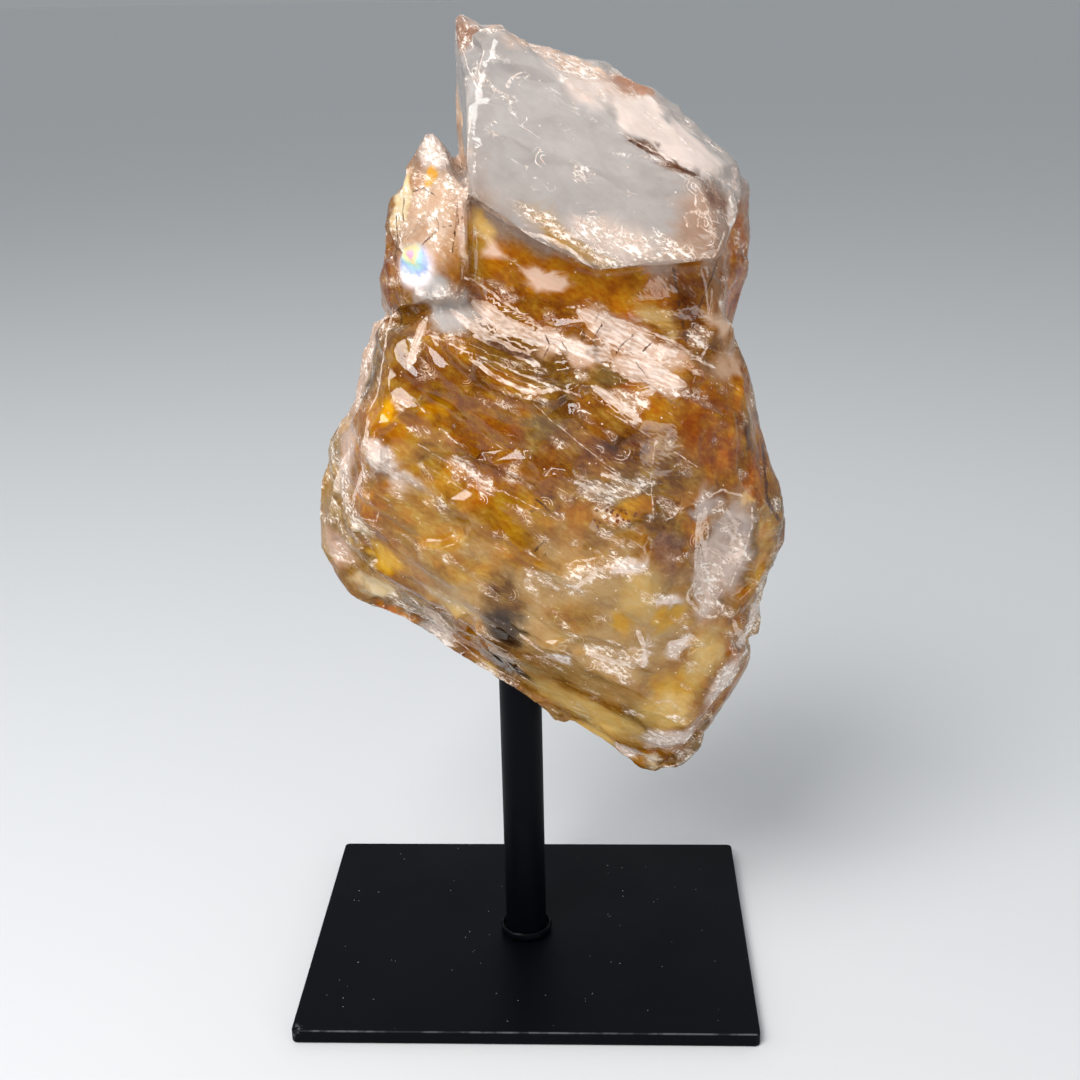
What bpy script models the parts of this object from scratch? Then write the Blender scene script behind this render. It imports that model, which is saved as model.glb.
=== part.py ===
"""Golden healer quartz on a steel stand.

A rough, broken lump of quartz, drilled from below, stands on a round post that is welded to a
flat rectangular plate. Metres, +Z up. The origin is the centre of the plate's underside, +Y
points to the back of the piece and +X to its right.
"""

import math

import bmesh
import bpy
from mathutils import Matrix, Vector, noise

MM = 0.001
HALF = Vector((0.5, 0.5, 0.5))

# ---------------------------------------------------------------- the stand
PLATE_WIDTH = 101.6 * MM  # 4 in
PLATE_DEPTH = 76.2 * MM  # 3 in
PLATE_THICKNESS = 3.2 * MM  # 1/8 in bar
PLATE_CORNER_CUT = 1.2 * MM
PLATE_EDGE_BREAK = 0.35 * MM

POST_RADIUS = 4.76 * MM  # 3/8 in rod
POST_X = -1.2 * MM  # it was welded a little left of the plate's middle
POST_TOP = 92.0 * MM
POST_SIDES = 48
POST_TOP_CHAMFER = 0.6 * MM

BEAD_RADIUS = 0.42 * MM
BEAD_HEIGHT = 2.0 * MM
BEAD_LUMPS = 11
BEAD_LUMP_HEIGHT = 0.14 * MM

FIT_GAP = 0.3 * MM  # kept between pieces that touch
HOLE_RADIUS = POST_RADIUS + FIT_GAP
HOLE_TOP = POST_TOP + 2 * FIT_GAP

# ---------------------------------------------------------------- the stone
# Corners of the flat-faced blocks that the lump is broken into, as (x, y, z) in millimetres.
# Negative y is the front.
CLEAR_BLOCK = [
    # clean front face, from its lower left corner round
    (-6.9, -22, 178.7), (-7.3, -17, 193.5), (-1.8, -11, 205.9), (9.9, -13.5, 198.8),
    (24.7, -17, 187.0), (35.7, -20, 180.0), (40.0, -22, 166.4), (33.9, -23.5, 165.9),
    (17.1, -24.5, 164.8), (4.2, -23.5, 171.2),
    # crest
    (-10.0, 0, 210.1), (5.8, 1, 204.7), (19.3, 1, 200.2), (29.0, 0, 195.1), (44.5, -2, 181.9),
    (45.4, -4, 177.1),
    # left edge and back
    (-10.7, 1, 203.0), (-9.7, 2, 194.0), (-9.5, 6, 180.0), (-3.0, 14, 198.0), (12.0, 17, 191.0),
    (30.0, 15, 180.0), (41.0, 10, 170.0), (-6.0, 18, 172.0), (28.0, 21, 160.0), (6.0, 22, 162.0),
]  # fmt: skip
NECK = [
    (-8.5, -13, 176.0), (10.0, -13, 172.0), (37.0, -12, 168.0), (41.5, -6, 168.0),
    (-14.0, -14, 160.0), (-8.0, -15, 157.0), (12.0, -17, 152.0), (39.0, -13, 146.0),
    (43.0, -4, 146.0), (-16.0, 16, 160.0), (-8.0, 20, 174.0), (34.0, 20, 172.0),
    (40.0, 14, 146.0), (-18.0, 20, 140.0), (30.0, 24, 140.0), (-18.0, -8, 140.0),
]  # fmt: skip
RIGHT_FLANK = [
    (45.8, 0, 178.0), (47.9, 4, 166.3), (47.4, 4, 156.2), (45.0, 2, 144.5), (41.0, -9, 166.0),
    (40.0, -8, 146.0), (40.0, -5, 177.5), (38.0, 18, 172.0), (42.0, 16, 150.0), (34.0, 12, 140.0),
    (30.0, 0, 176.0), (30.0, 0, 140.0),
]  # fmt: skip
LEFT_SHOULDER = [
    (-16.3, -3, 186.5), (-13.0, -7, 183.5), (-20.6, -3, 179.5), (-24.2, -2, 175.2),
    (-26.6, -2, 162.2), (-26.6, 0, 153.0), (-22.5, -12, 165.5), (-12.0, -17, 175.0),
    (-8.0, -17, 177.5), (-8.0, -19, 163.0), (-21.5, -15, 156.5), (-11.0, -20, 159.0),
    (-20.0, 12, 168.0), (-22.0, 14, 152.0), (-8.0, 12, 176.0), (-8.0, 10, 150.0),
]  # fmt: skip
SHOULDER_PEAK = [
    (-16.2, -3, 187.6), (-18.8, -3, 182.0), (-17.5, -8, 178.0), (-12.6, -8, 184.2),
    (-11.0, -9, 176.0), (-14.5, 4, 182.0), (-10.0, 3, 178.0), (-20.0, 0, 172.0),
]  # fmt: skip
BODY = [
    # the widest outline, from the upper left down and round
    (-29.3, 0, 149.9), (-35.5, 0, 134.0), (-40.6, 0, 121.9), (-44.0, 0, 109.5),
    (-43.1, -2, 101.5), (-36.5, -5, 92.2), (21.1, -6, 52.8), (29.0, -4, 47.6), (34.4, -3, 48.5),
    (41.9, -2, 60.0), (49.5, -2, 77.0), (52.9, -2, 86.6), (55.2, -2, 101.5), (55.6, -3, 107.5),
    (52.1, -3, 118.0), (47.9, -3, 132.0), (43.0, -4, 145.6),
    # the front, from the top ledge down to the bottom bevel
    (-21.7, -18, 152.6), (-7.5, -25.5, 150.3), (9.5, -29, 141.2), (24.6, -29, 137.2),
    (34.3, -25, 134.0), (36.4, -19, 145.0), (44.7, -16, 133.4), (-24.6, -23, 140.2),
    (-29.0, -25, 126.7), (-32.5, -22.5, 115.6), (-29.9, -19, 102.3), (-17.7, -24, 98.3),
    (-9.4, -27, 96.3), (8.7, -28, 87.8), (25.0, -25, 76.3), (36.0, -16, 64.0),
    (47.6, -16, 118.7), (49.0, -14, 98.4), (45.4, -12, 82.1), (7.3, -29.8, 122.3),
    (26.6, -28.5, 109.1),
    # the ledge that juts out under the neck
    (-12.0, -13, 158.0), (9.4, -16, 154.2), (24.9, -17, 149.0), (37.8, -13, 146.9),
    # the back
    (-24.0, 20, 146.0), (-34.0, 21, 118.0), (-32.0, 18, 98.0), (-8.0, 30, 138.0),
    (-14.0, 31, 112.0), (-4.0, 22, 80.0), (14.0, 33, 126.0), (22.0, 29, 96.0), (24.0, 17, 62.0),
    (36.0, 24, 136.0), (44.0, 20, 110.0), (38.0, 16, 78.0), (0.0, 25, 150.0), (28.0, 24, 146.0),
]  # fmt: skip

BLOCKS = [BODY, NECK, CLEAR_BLOCK, RIGHT_FLANK, LEFT_SHOULDER, SHOULDER_PEAK]

STONE_TRIANGLES = 8200
GRAIN = 0.8 * MM  # spacing of the points that the relief is cut with

# Shell-shaped fractures: the middle of each hollow's ball, its half sizes along the lie, into
# the stone and across the lie, the lie's slope in degrees, and the height and spacing of its
# ripples, all in millimetres.
SCOOPS = {
    "ledge shell": ((0.0, -31.5, 156.5), (21, 12.5, 10.5), -33, 0.0, 3.8),
    "ledge shell right": ((28.0, -33.0, 147.5), (16, 12.5, 8.5), -22, 0.30, 3.4),
    "right shoulder": ((56.0, -34.0, 128.0), (26, 19, 24), -60, 0.18, 4.0),
    "clear oval": ((42.6, -24.6, 105.5), (15.5, 8.6, 6.2), 78, 0.0, 1.0),
    "lower left": ((-37.0, -36.0, 103.0), (16, 17, 13), -40, 0.25, 3.0),
    "left flank": ((-47.0, -22.0, 134.0), (24, 12, 11), 66, 0.22, 3.2),
    "bottom bevel": ((2.0, -42.0, 76.0), (34, 19, 14), -31, 0.15, 4.2),
    "tip": ((43.0, -22.0, 58.0), (13, 12, 9), 55, 0.30, 2.2),
    "block corner": ((-6.5, -23.0, 199.0), (9, 8, 6), 75, 0.20, 1.8),
    "front middle": ((20.0, -46.0, 118.0), (24, 18.6, 13), -35, 0.28, 3.4),
    "front left": ((-14.0, -44.0, 128.0), (20, 19.0, 12), -38, 0.25, 3.0),
    "back high": ((2.0, 42.0, 182.0), (26, 25, 17), 24, 0.30, 3.6),
    "back shoulder": ((30.0, 48.0, 142.0), (26, 24, 18), 30, 0.30, 3.8),
    "back left": ((-34.0, 42.0, 128.0), (24, 24, 20), 70, 0.25, 3.6),
    "back low": ((16.0, 47.0, 84.0), (30, 27, 20), 32, 0.30, 4.4),
    "right edge back": ((64.0, 22.0, 88.0), (22, 22, 16), 60, 0.25, 3.4),
}

# Rings that the break left on the ledge, below and left of this middle, seen from the front: the
# middle's x and z, how far out they start and end, their spacing and their height.
LEDGE_RINGS_MIDDLE = (6.0, 163.0)
LEDGE_RINGS_REACH = (10.0, 28.0)
LEDGE_RINGS_SPACING = 4.4
LEDGE_RINGS_HEIGHT = 1.3
LEDGE_RINGS_FADE = 3.0  # over this distance at their inner and outer ends
LEDGE_RINGS_RIGHT_END = 14.0  # right of the middle, where they have died away
LEDGE_RINGS_RIGHT_FADE = 8.0
LEDGE_FRONT_Y = -8.0  # they are in front of this only

# Cleavage steps that run down to the right across the front: height above the origin where each
# crosses x = 0, and how far the stone steps back below it, in millimetres.
STEP_SLOPE = math.radians(-33)
STEPS = [(140.5, 0.8), (131.0, 0.9), (119.5, -0.7), (110.0, 0.9), (98.5, 0.8), (90.5, 0.6)]
STEP_WIDTH = 1.6
STEPS_FRONT_Y = -6.0  # the steps are in front of this and below this height
STEPS_TOP_Z = 152.0
STEP_WANDER = 1.3  # how far a step strays from its straight line, and over what length
STEP_WANDER_SIZE = 9.0

# The overlapping shallow shells that every fracture leaves, coarse ones all over and small chips
# on top of them: size in millimetres, then as shares of that size the difference in depth from
# one to the next, how steeply they lean and how hollow they are.
SHELLS = (12.0, 0.10, 0.62, 0.14)
CHIPS = (3.6, 0.12, 0.80, 0.30)
SHELL_STRETCH = 1.8  # along the cleavage
CHIP_STRETCH = 1.3
CHIP_SHARE = 0.22  # where the stone is not crumbled
BROAD_SWELL = 0.7
BROAD_SIZE = 17.0
RAISED = 0.85  # puts the shells' middle height back at the blocks' own faces
DEEPEST = 1.5  # the relief levels off towards this much in or out

# Where the stone broke clean, and where it crumbled: middle, reach and share of the relief.
CLEAN_FACES = [
    ((17.0, -18.5, 182.0), (30.0, 5.0, 19.0), 0.08),
    ((26.0, -11.0, 190.0), (17.0, 6.5, 9.0), 0.15),
    ((-9.0, -6.0, 190.0), (4.0, 9.0, 13.0), 0.25),
    ((22.0, -24.0, 80.0), (20.0, 6.0, 8.0), 0.45),
    ((-6.0, -20.0, 150.0), (16.0, 9.0, 10.0), 0.35),
    ((10.0, -14.0, 163.0), (26.0, 4.0, 7.0), 0.45),
    ((8.0, -10.0, 72.0), (28.0, 10.0, 9.0), 0.35),
]
CRUMBLED = [
    ((-2.0, 1.0, 207.0), 10.0, 1.6),
    ((16.0, 0.0, 202.0), 11.0, 1.4),
    ((32.0, 0.0, 194.0), 11.0, 1.2),
    ((-17.0, -6.0, 183.0), 10.0, 1.6),
    ((-22.0, -6.0, 168.0), 14.0, 1.4),
    ((6.0, -20.0, 156.0), 9.0, 1.2),
    ((20.0, -22.0, 150.0), 10.0, 1.5),
    ((34.0, -20.0, 145.0), 11.0, 1.7),
    ((-30.0, -16.0, 130.0), 12.0, 1.4),
    ((50.0, -8.0, 84.0), 13.0, 1.4),
    ((33.0, -8.0, 52.0), 13.0, 1.7),
    ((-16.0, -20.0, 90.0), 11.0, 1.4),
]


def new_object(name, mesh, collection):
    """An object of this mesh in the collection, with nothing else set."""
    made = bpy.data.objects.new(name, mesh)
    collection.objects.link(made)
    return made


def evaluated_mesh(obj):
    """What the object's modifiers make of it, as a mesh of its own."""
    bpy.context.view_layer.update()
    graph = bpy.context.evaluated_depsgraph_get()
    return bpy.data.meshes.new_from_object(obj.evaluated_get(graph))


def mesh_from(bm, name):
    """A mesh of what the bmesh holds, and the bmesh freed."""
    mesh = bpy.data.meshes.new(name)
    bm.to_mesh(mesh)
    bm.free()
    return mesh


def finish_material(name, colour, roughness, metallic=0.0, transmission=0.0):
    """A Principled material of one finish."""
    material = bpy.data.materials.new(name)
    material.use_nodes = True
    shader = material.node_tree.nodes["Principled BSDF"]
    shader.inputs["Base Color"].default_value = (*colour, 1.0)
    shader.inputs["Roughness"].default_value = roughness
    shader.inputs["Metallic"].default_value = metallic
    shader.inputs["Transmission Weight"].default_value = transmission
    return material


# ---------------------------------------------------------------- the stand's pieces
def base_plate(collection, paint):
    """The flat bar, with its corners and edges filed off."""
    bm = bmesh.new()
    bmesh.ops.create_cube(bm, size=1.0)
    bmesh.ops.scale(bm, vec=(PLATE_WIDTH, PLATE_DEPTH, PLATE_THICKNESS), verts=bm.verts)
    bmesh.ops.translate(bm, vec=(0, 0, PLATE_THICKNESS / 2), verts=bm.verts)
    corners = [e for e in bm.edges if abs(e.verts[0].co.z - e.verts[1].co.z) > PLATE_THICKNESS / 2]
    bmesh.ops.bevel(
        bm, geom=corners, offset=PLATE_CORNER_CUT, segments=4, profile=0.5, affect="EDGES"
    )
    plate = new_object("base_plate", mesh_from(bm, "base_plate"), collection)
    edge_break = plate.modifiers.new("edge break", "BEVEL")
    edge_break.width = PLATE_EDGE_BREAK
    edge_break.segments = 2
    edge_break.limit_method = "ANGLE"
    edge_break.angle_limit = math.radians(60)
    plate.data.materials.append(paint)
    return plate


def post(collection, paint):
    """The rod, standing on the plate with its top inside the stone."""
    foot = PLATE_THICKNESS + FIT_GAP
    bm = bmesh.new()
    bmesh.ops.create_cone(
        bm, cap_ends=True, segments=POST_SIDES,
        radius1=POST_RADIUS, radius2=POST_RADIUS, depth=POST_TOP - foot,
    )  # fmt: skip
    bmesh.ops.translate(bm, vec=(0, 0, (POST_TOP + foot) / 2), verts=bm.verts)
    top_ring = [e for e in bm.edges if min(v.co.z for v in e.verts) > POST_TOP - MM]
    bmesh.ops.bevel(bm, geom=top_ring, offset=POST_TOP_CHAMFER, segments=1, affect="EDGES")
    rod = new_object("post", mesh_from(bm, "post"), collection)
    rod.location.x = POST_X
    rod.data.materials.append(paint)
    return rod


def weld_bead(collection, paint):
    """The lumpy ring of weld round the foot of the post."""
    major = POST_RADIUS + FIT_GAP + BEAD_RADIUS
    bpy.ops.mesh.primitive_torus_add(
        major_radius=major, minor_radius=BEAD_RADIUS, major_segments=52, minor_segments=8
    )
    bead = bpy.context.object
    bead.name = bead.data.name = "weld_bead"
    for holder in bead.users_collection:
        holder.objects.unlink(bead)
    collection.objects.link(bead)
    bead.location = (POST_X, 0, PLATE_THICKNESS + FIT_GAP + BEAD_HEIGHT / 2)
    for vertex in bead.data.vertices:
        around = math.atan2(vertex.co.y, vertex.co.x)
        out = Vector((math.cos(around), math.sin(around), 0))
        if vertex.co.xy.length > major:
            vertex.co += out * BEAD_LUMP_HEIGHT * (1 + math.sin(BEAD_LUMPS * around))
        vertex.co.z *= BEAD_HEIGHT / (2 * BEAD_RADIUS)
    bead.data.materials.append(paint)
    return bead


# ---------------------------------------------------------------- the stone
def block(corners):
    """One flat-faced block of the lump: the convex hull of its corners."""
    bm = bmesh.new()
    for corner in corners:
        bm.verts.new(Vector(corner) * MM)
    made = bmesh.ops.convex_hull(bm, input=bm.verts)
    left_over = made["geom_interior"] + made["geom_unused"]
    inside = {item for item in left_over if isinstance(item, bmesh.types.BMVert)}
    bmesh.ops.delete(bm, geom=list(inside), context="VERTS")
    bmesh.ops.recalc_face_normals(bm, faces=bm.faces)
    return mesh_from(bm, "block")


def lump(collection):
    """All the blocks grown into one solid, with evenly spaced points for the relief."""
    guide = bpy.data.collections.new("stone blocks")
    bpy.context.scene.collection.children.link(guide)
    whole = new_object("quartz", block(BLOCKS[0]), collection)
    for corners in BLOCKS[1:]:
        other = new_object("stone block", block(corners), guide)
        other.hide_render = True
        other.display_type = "WIRE"
        union = whole.modifiers.new("grown together", "BOOLEAN")
        union.operation = "UNION"
        union.object = other
    made_even(whole)
    return whole


def along_and_across(point, slope):
    """The point turned about Y, so that x runs along a line of that slope."""
    return Matrix.Rotation(slope, 3, "Y") @ point


def scooped(point):
    """The point pushed back onto the rippled ball of each shell fracture that it lies in."""
    for middle, half_sizes, lie, ripple, spacing in SCOOPS.values():
        slope = math.radians(lie)
        middle = Vector(middle)
        turned = along_and_across(point - middle, slope)
        unit = Vector(turned[i] / half_sizes[i] for i in range(3))
        if not 0.05 < unit.length < 1.0:
            continue
        rings = math.hypot(turned.x, turned.z)
        swell = 1 + ripple * math.sin(math.tau * rings / spacing) / half_sizes[1]
        on_ball = unit.normalized() * swell
        turned = Vector(on_ball[i] * half_sizes[i] for i in range(3))
        point = middle + along_and_across(turned, -slope)
    return point


def smooth_step(value):
    """0 below 0, 1 above 1, and an even S between."""
    value = min(1.0, max(0.0, value))
    return value * value * (3 - 2 * value)


def cleavage(point):
    """How far the steps across the front stand out at this point."""
    if point.y > STEPS_FRONT_Y or point.z > STEPS_TOP_Z:
        return 0.0
    height = point.z - point.x * math.tan(STEP_SLOPE)
    height += STEP_WANDER * noise.noise(point / STEP_WANDER_SIZE)
    return sum(fall * (smooth_step((height - at) / STEP_WIDTH) - 0.5) for at, fall in STEPS)


def ledge_rings(point):
    """How far the ledge's rings stand out here: saw teeth with their steep side outwards."""
    x = point.x - LEDGE_RINGS_MIDDLE[0]
    z = point.z - LEDGE_RINGS_MIDDLE[1]
    if point.y > LEDGE_FRONT_Y or z > 0:
        return 0.0
    reach = math.hypot(x, z)
    nearest, furthest = LEDGE_RINGS_REACH
    shown = smooth_step((reach - nearest) / LEDGE_RINGS_FADE)
    shown *= smooth_step((furthest - reach) / LEDGE_RINGS_FADE)
    shown *= smooth_step((LEDGE_RINGS_RIGHT_END - x) / LEDGE_RINGS_RIGHT_FADE)
    shown *= smooth_step(-z / LEDGE_RINGS_FADE)
    return LEDGE_RINGS_HEIGHT * (reach / LEDGE_RINGS_SPACING % 1 - 0.5) * shown


def shells(point, kind, stretch):
    """Height of the lowest of the nearby shells, each hollow, leaning and set in its own way."""
    size, depth, lean, hollow = kind
    turned = along_and_across(point, STEP_SLOPE) / size
    turned.x /= stretch
    heights = []
    for middle in noise.voronoi(turned)[1]:
        own = noise.cell_vector(middle * 7.3) - HALF
        towards = noise.cell_vector(middle * 5.1 + Vector((3.7, 1.9, 8.3))) - HALF
        away = turned - middle
        heights.append(2 * depth * own.x + lean * towards.dot(away) + hollow * away.length_squared)
    return min(heights) * size


def kept_share(point):
    """How much of the relief this place has: little where the stone broke clean."""
    share = 1.0
    for middle, half_sizes, left in CLEAN_FACES:
        gap = max(abs(point[i] - middle[i]) / half_sizes[i] for i in range(3))
        share = min(share, left + (1 - left) * smooth_step((gap - 0.85) / 0.25))
    return share


def crumbled_share(point):
    """How strong the small chips are here: strongest where the stone crumbled."""
    share = CHIP_SHARE
    for middle, reach, strength in CRUMBLED:
        near = 1 - (point - Vector(middle)).length / reach
        share = max(share, strength * smooth_step(1.5 * near))
    return share


def relief(point):
    """How far the broken surface stands out from the plain blocks here, in millimetres."""
    coarse = shells(point, SHELLS, SHELL_STRETCH)
    chips = shells(point + Vector((40, 7, 23)), CHIPS, CHIP_STRETCH)
    broad = BROAD_SWELL * noise.noise(point / BROAD_SIZE)
    broken = coarse + broad + crumbled_share(point) * chips + RAISED
    levelled = kept_share(point) * DEEPEST * math.tanh(broken / DEEPEST)
    return levelled + cleavage(point) + ledge_rings(point)


def break_surface(mesh):
    """Cuts the shell fractures, steps, shells and chips into the evenly spaced points."""
    outward = [vertex.normal.copy() for vertex in mesh.vertices]
    for vertex, normal in zip(mesh.vertices, outward):
        point = scooped(vertex.co / MM)
        vertex.co = (point + normal * relief(point)) * MM


def made_even(whole):
    """The object's surface wrapped again in evenly spaced points, as one closed skin."""
    evened = whole.modifiers.new("even points", "REMESH")
    evened.mode = "VOXEL"
    evened.voxel_size = GRAIN
    whole.data = evaluated_mesh(whole)
    whole.modifiers.clear()


def stone(collection, quartz):
    """The lump, broken all over, and drilled from below for the post."""
    whole = lump(collection)
    break_surface(whole.data)
    made_even(whole)
    lighter = whole.modifiers.new("facets", "DECIMATE")
    lighter.ratio = STONE_TRIANGLES / (2 * len(whole.data.polygons))
    lighter.use_collapse_triangulate = True
    whole.data = evaluated_mesh(whole)
    whole.modifiers.clear()
    cut = whole.modifiers.new("post hole", "BOOLEAN")
    cut.object = drill(collection)
    whole.data.materials.clear()
    whole.data.materials.append(quartz)
    return whole


def drill(collection):
    """The cutter of the blind hole that the post goes up."""
    below = PLATE_THICKNESS
    bm = bmesh.new()
    bmesh.ops.create_cone(
        bm, cap_ends=True, segments=POST_SIDES,
        radius1=HOLE_RADIUS, radius2=HOLE_RADIUS, depth=HOLE_TOP - below,
    )  # fmt: skip
    cutter = new_object("drill", mesh_from(bm, "drill"), collection)
    cutter.location = (POST_X, 0, (HOLE_TOP + below) / 2)
    cutter.hide_render = True
    cutter.display_type = "WIRE"
    return cutter


def main():
    for old in list(bpy.data.objects):
        bpy.data.objects.remove(old)
    piece = bpy.data.collections.new("golden healer quartz")
    bpy.context.scene.collection.children.link(piece)
    black_paint = finish_material("black_powder_coat", (0.012, 0.013, 0.016), 0.55)
    quartz = finish_material("golden_quartz", (0.80, 0.58, 0.30), 0.15, transmission=0.7)
    base_plate(piece, black_paint)
    post(piece, black_paint)
    weld_bead(piece, black_paint)
    stone(piece, quartz)


main()
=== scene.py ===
# %% [markdown]
# # A golden healer quartz on its steel stand
# Golden healer is clear quartz that iron has stained from honey to rust along its inner fractures.
# This one is a rough lump, about a hand long, on a black powder-coated stand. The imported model
# gives every solid at its real size. Here the solids get their finish: a finer broken surface,
# see-through stone with its stains and veils, paint with dust on it, a floor, light and a camera.
# Lengths are metres, so a real size in millimetres is written times MM. Only stains, marks, strokes
# and the patterns in the materials are placed in plain millimetres.

# %% Load the frame
import math

import bmesh
import bpy
import numpy as np
from mathutils import Matrix, Vector, noise


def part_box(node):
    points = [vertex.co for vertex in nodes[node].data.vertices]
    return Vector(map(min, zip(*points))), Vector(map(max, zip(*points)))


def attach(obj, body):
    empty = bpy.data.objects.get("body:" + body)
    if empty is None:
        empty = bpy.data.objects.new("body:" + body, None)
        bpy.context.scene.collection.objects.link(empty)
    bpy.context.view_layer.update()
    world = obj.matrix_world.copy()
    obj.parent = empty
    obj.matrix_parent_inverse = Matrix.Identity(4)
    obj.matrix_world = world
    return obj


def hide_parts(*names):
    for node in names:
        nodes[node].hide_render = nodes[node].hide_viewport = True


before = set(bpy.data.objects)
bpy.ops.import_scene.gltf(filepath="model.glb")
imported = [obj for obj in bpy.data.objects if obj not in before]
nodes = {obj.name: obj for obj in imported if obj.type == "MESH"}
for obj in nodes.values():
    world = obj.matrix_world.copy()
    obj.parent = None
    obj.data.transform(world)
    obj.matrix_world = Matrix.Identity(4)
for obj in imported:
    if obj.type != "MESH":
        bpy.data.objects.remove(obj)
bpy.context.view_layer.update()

MM = 0.001
print("nodes:", sorted(nodes))

# %% [markdown]
# ## The camera
# The plate is the only thing here with straight edges of a known size, so the camera was worked
# out from its four corners. That gives where the camera stands, how it is turned and its lens.

# %% Camera
CAMERA_PLACE = Vector((16.9, -302.8, 213.4)) * MM
CAMERA_PITCH = math.radians(20.12)  # looking down
CAMERA_YAW = math.radians(-2.46)
CAMERA_ROLL = math.radians(-1.15)
CAMERA_LENS = 49.67  # mm, on a sensor 36 mm wide


def camera_matrix():
    """Where the camera stands and how it is turned."""
    ahead = Vector((
        math.sin(CAMERA_YAW) * math.cos(CAMERA_PITCH),
        math.cos(CAMERA_YAW) * math.cos(CAMERA_PITCH),
        -math.sin(CAMERA_PITCH),
    ))
    level = Vector((math.cos(CAMERA_YAW), -math.sin(CAMERA_YAW), 0))
    upright = level.cross(ahead)
    right = level * math.cos(CAMERA_ROLL) + upright * math.sin(CAMERA_ROLL)
    up = upright * math.cos(CAMERA_ROLL) - level * math.sin(CAMERA_ROLL)
    matrix = Matrix((right, up, -ahead)).transposed().to_4x4()
    matrix.translation = CAMERA_PLACE
    return matrix


camera = bpy.data.objects.new("camera", bpy.data.cameras.new("camera"))
camera.data.lens = CAMERA_LENS
camera.data.clip_start = 0.01
camera.matrix_world = camera_matrix()
bpy.context.collection.objects.link(camera)
bpy.context.scene.camera = camera
print("camera height in mm:", round(CAMERA_PLACE.z / MM, 1))

# %% [markdown]
# ## Helpers
# Colours are written as sRGB hex values, which is how they are picked on a screen. Shaders work in
# linear light, so one function converts them. One more small function adds a node to any tree,
# sets its properties and fills its inputs with values or links.

# %% Colour and node helpers
def linear(hex_colour):
    """The linear RGBA of an sRGB hex colour."""
    parts = [int(hex_colour[i:i + 2], 16) / 255 for i in (1, 3, 5)]
    curve = [c / 12.92 if c <= 0.04045 else ((c + 0.055) / 1.055) ** 2.4 for c in parts]
    return (*curve, 1.0)


def add_node(tree, kind, inputs=None, **settings):
    """A new node, with these settings and inputs: values, sockets, or nodes for their first output."""
    made = tree.nodes.new(kind)
    for name, value in settings.items():
        setattr(made, name, value)
    for name, value in (inputs or {}).items():
        if isinstance(value, bpy.types.Node):
            value = value.outputs[0]
        if isinstance(value, bpy.types.NodeSocket):
            tree.links.new(value, made.inputs[name])
        else:
            made.inputs[name].default_value = value
    return made


def new_material(name):
    """A material, its tree, and the Principled shader that is linked to its output."""
    material = bpy.data.materials.new(name)
    material.use_nodes = True
    tree = material.node_tree
    tree.nodes.clear()
    shader = add_node(tree, "ShaderNodeBsdfPrincipled")
    add_node(tree, "ShaderNodeOutputMaterial", {"Surface": shader})
    return material, tree, shader


def place_in_mm(tree):
    """The place on the piece, in millimetres."""
    metres = add_node(tree, "ShaderNodeTexCoord").outputs["Object"]
    return add_node(
        tree, "ShaderNodeVectorMath", {0: metres, "Scale": 1 / MM}, operation="SCALE"
    ).outputs[0]


print("middle grey in linear light:", round(linear("#808080")[0], 3))


# %% [markdown]
# ## Running a Geometry Nodes tree
# A tree gets its inputs by name when it is made. The modifier then takes their values by each
# socket's identifier, is evaluated once, and the result is kept as a plain mesh.

# %% Geometry Nodes helpers
def new_tree(name, inputs):
    """A geometry tree with these inputs, as label: kind of socket, and its two end nodes."""
    tree = bpy.data.node_groups.new(name, "GeometryNodeTree")
    tree.interface.new_socket("Geometry", in_out="OUTPUT", socket_type="NodeSocketGeometry")
    for label, kind in {"Geometry": "Geometry", **inputs}.items():
        tree.interface.new_socket(label, in_out="INPUT", socket_type="NodeSocket" + kind)
    return tree, add_node(tree, "NodeGroupInput"), add_node(tree, "NodeGroupOutput")


def run_tree(obj, tree, values):
    """What the tree makes of the object, as a plain mesh, with its inputs set by identifier."""
    modifier = obj.modifiers.new(tree.name, "NODES")
    modifier.node_group = tree
    for item in tree.interface.items_tree:
        if item.in_out == "INPUT" and item.name in values:
            modifier[item.identifier] = values[item.name]
    bpy.context.view_layer.update()
    graph = bpy.context.evaluated_depsgraph_get()
    mesh = bpy.data.meshes.new_from_object(obj.evaluated_get(graph))
    obj.modifiers.remove(modifier)
    return mesh


def finish_tree(tree, start, end, geometry):
    """Ends a tree: its instances are made real and take its material."""
    real = add_node(tree, "GeometryNodeRealizeInstances", {"Geometry": geometry})
    finished = add_node(tree, "GeometryNodeSetMaterial", {
        "Geometry": real, "Material": start.outputs["Material"],
    })
    tree.links.new(finished.outputs[0], end.inputs["Geometry"])
    return tree


print("node groups before the first tree:", len(bpy.data.node_groups))
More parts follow.
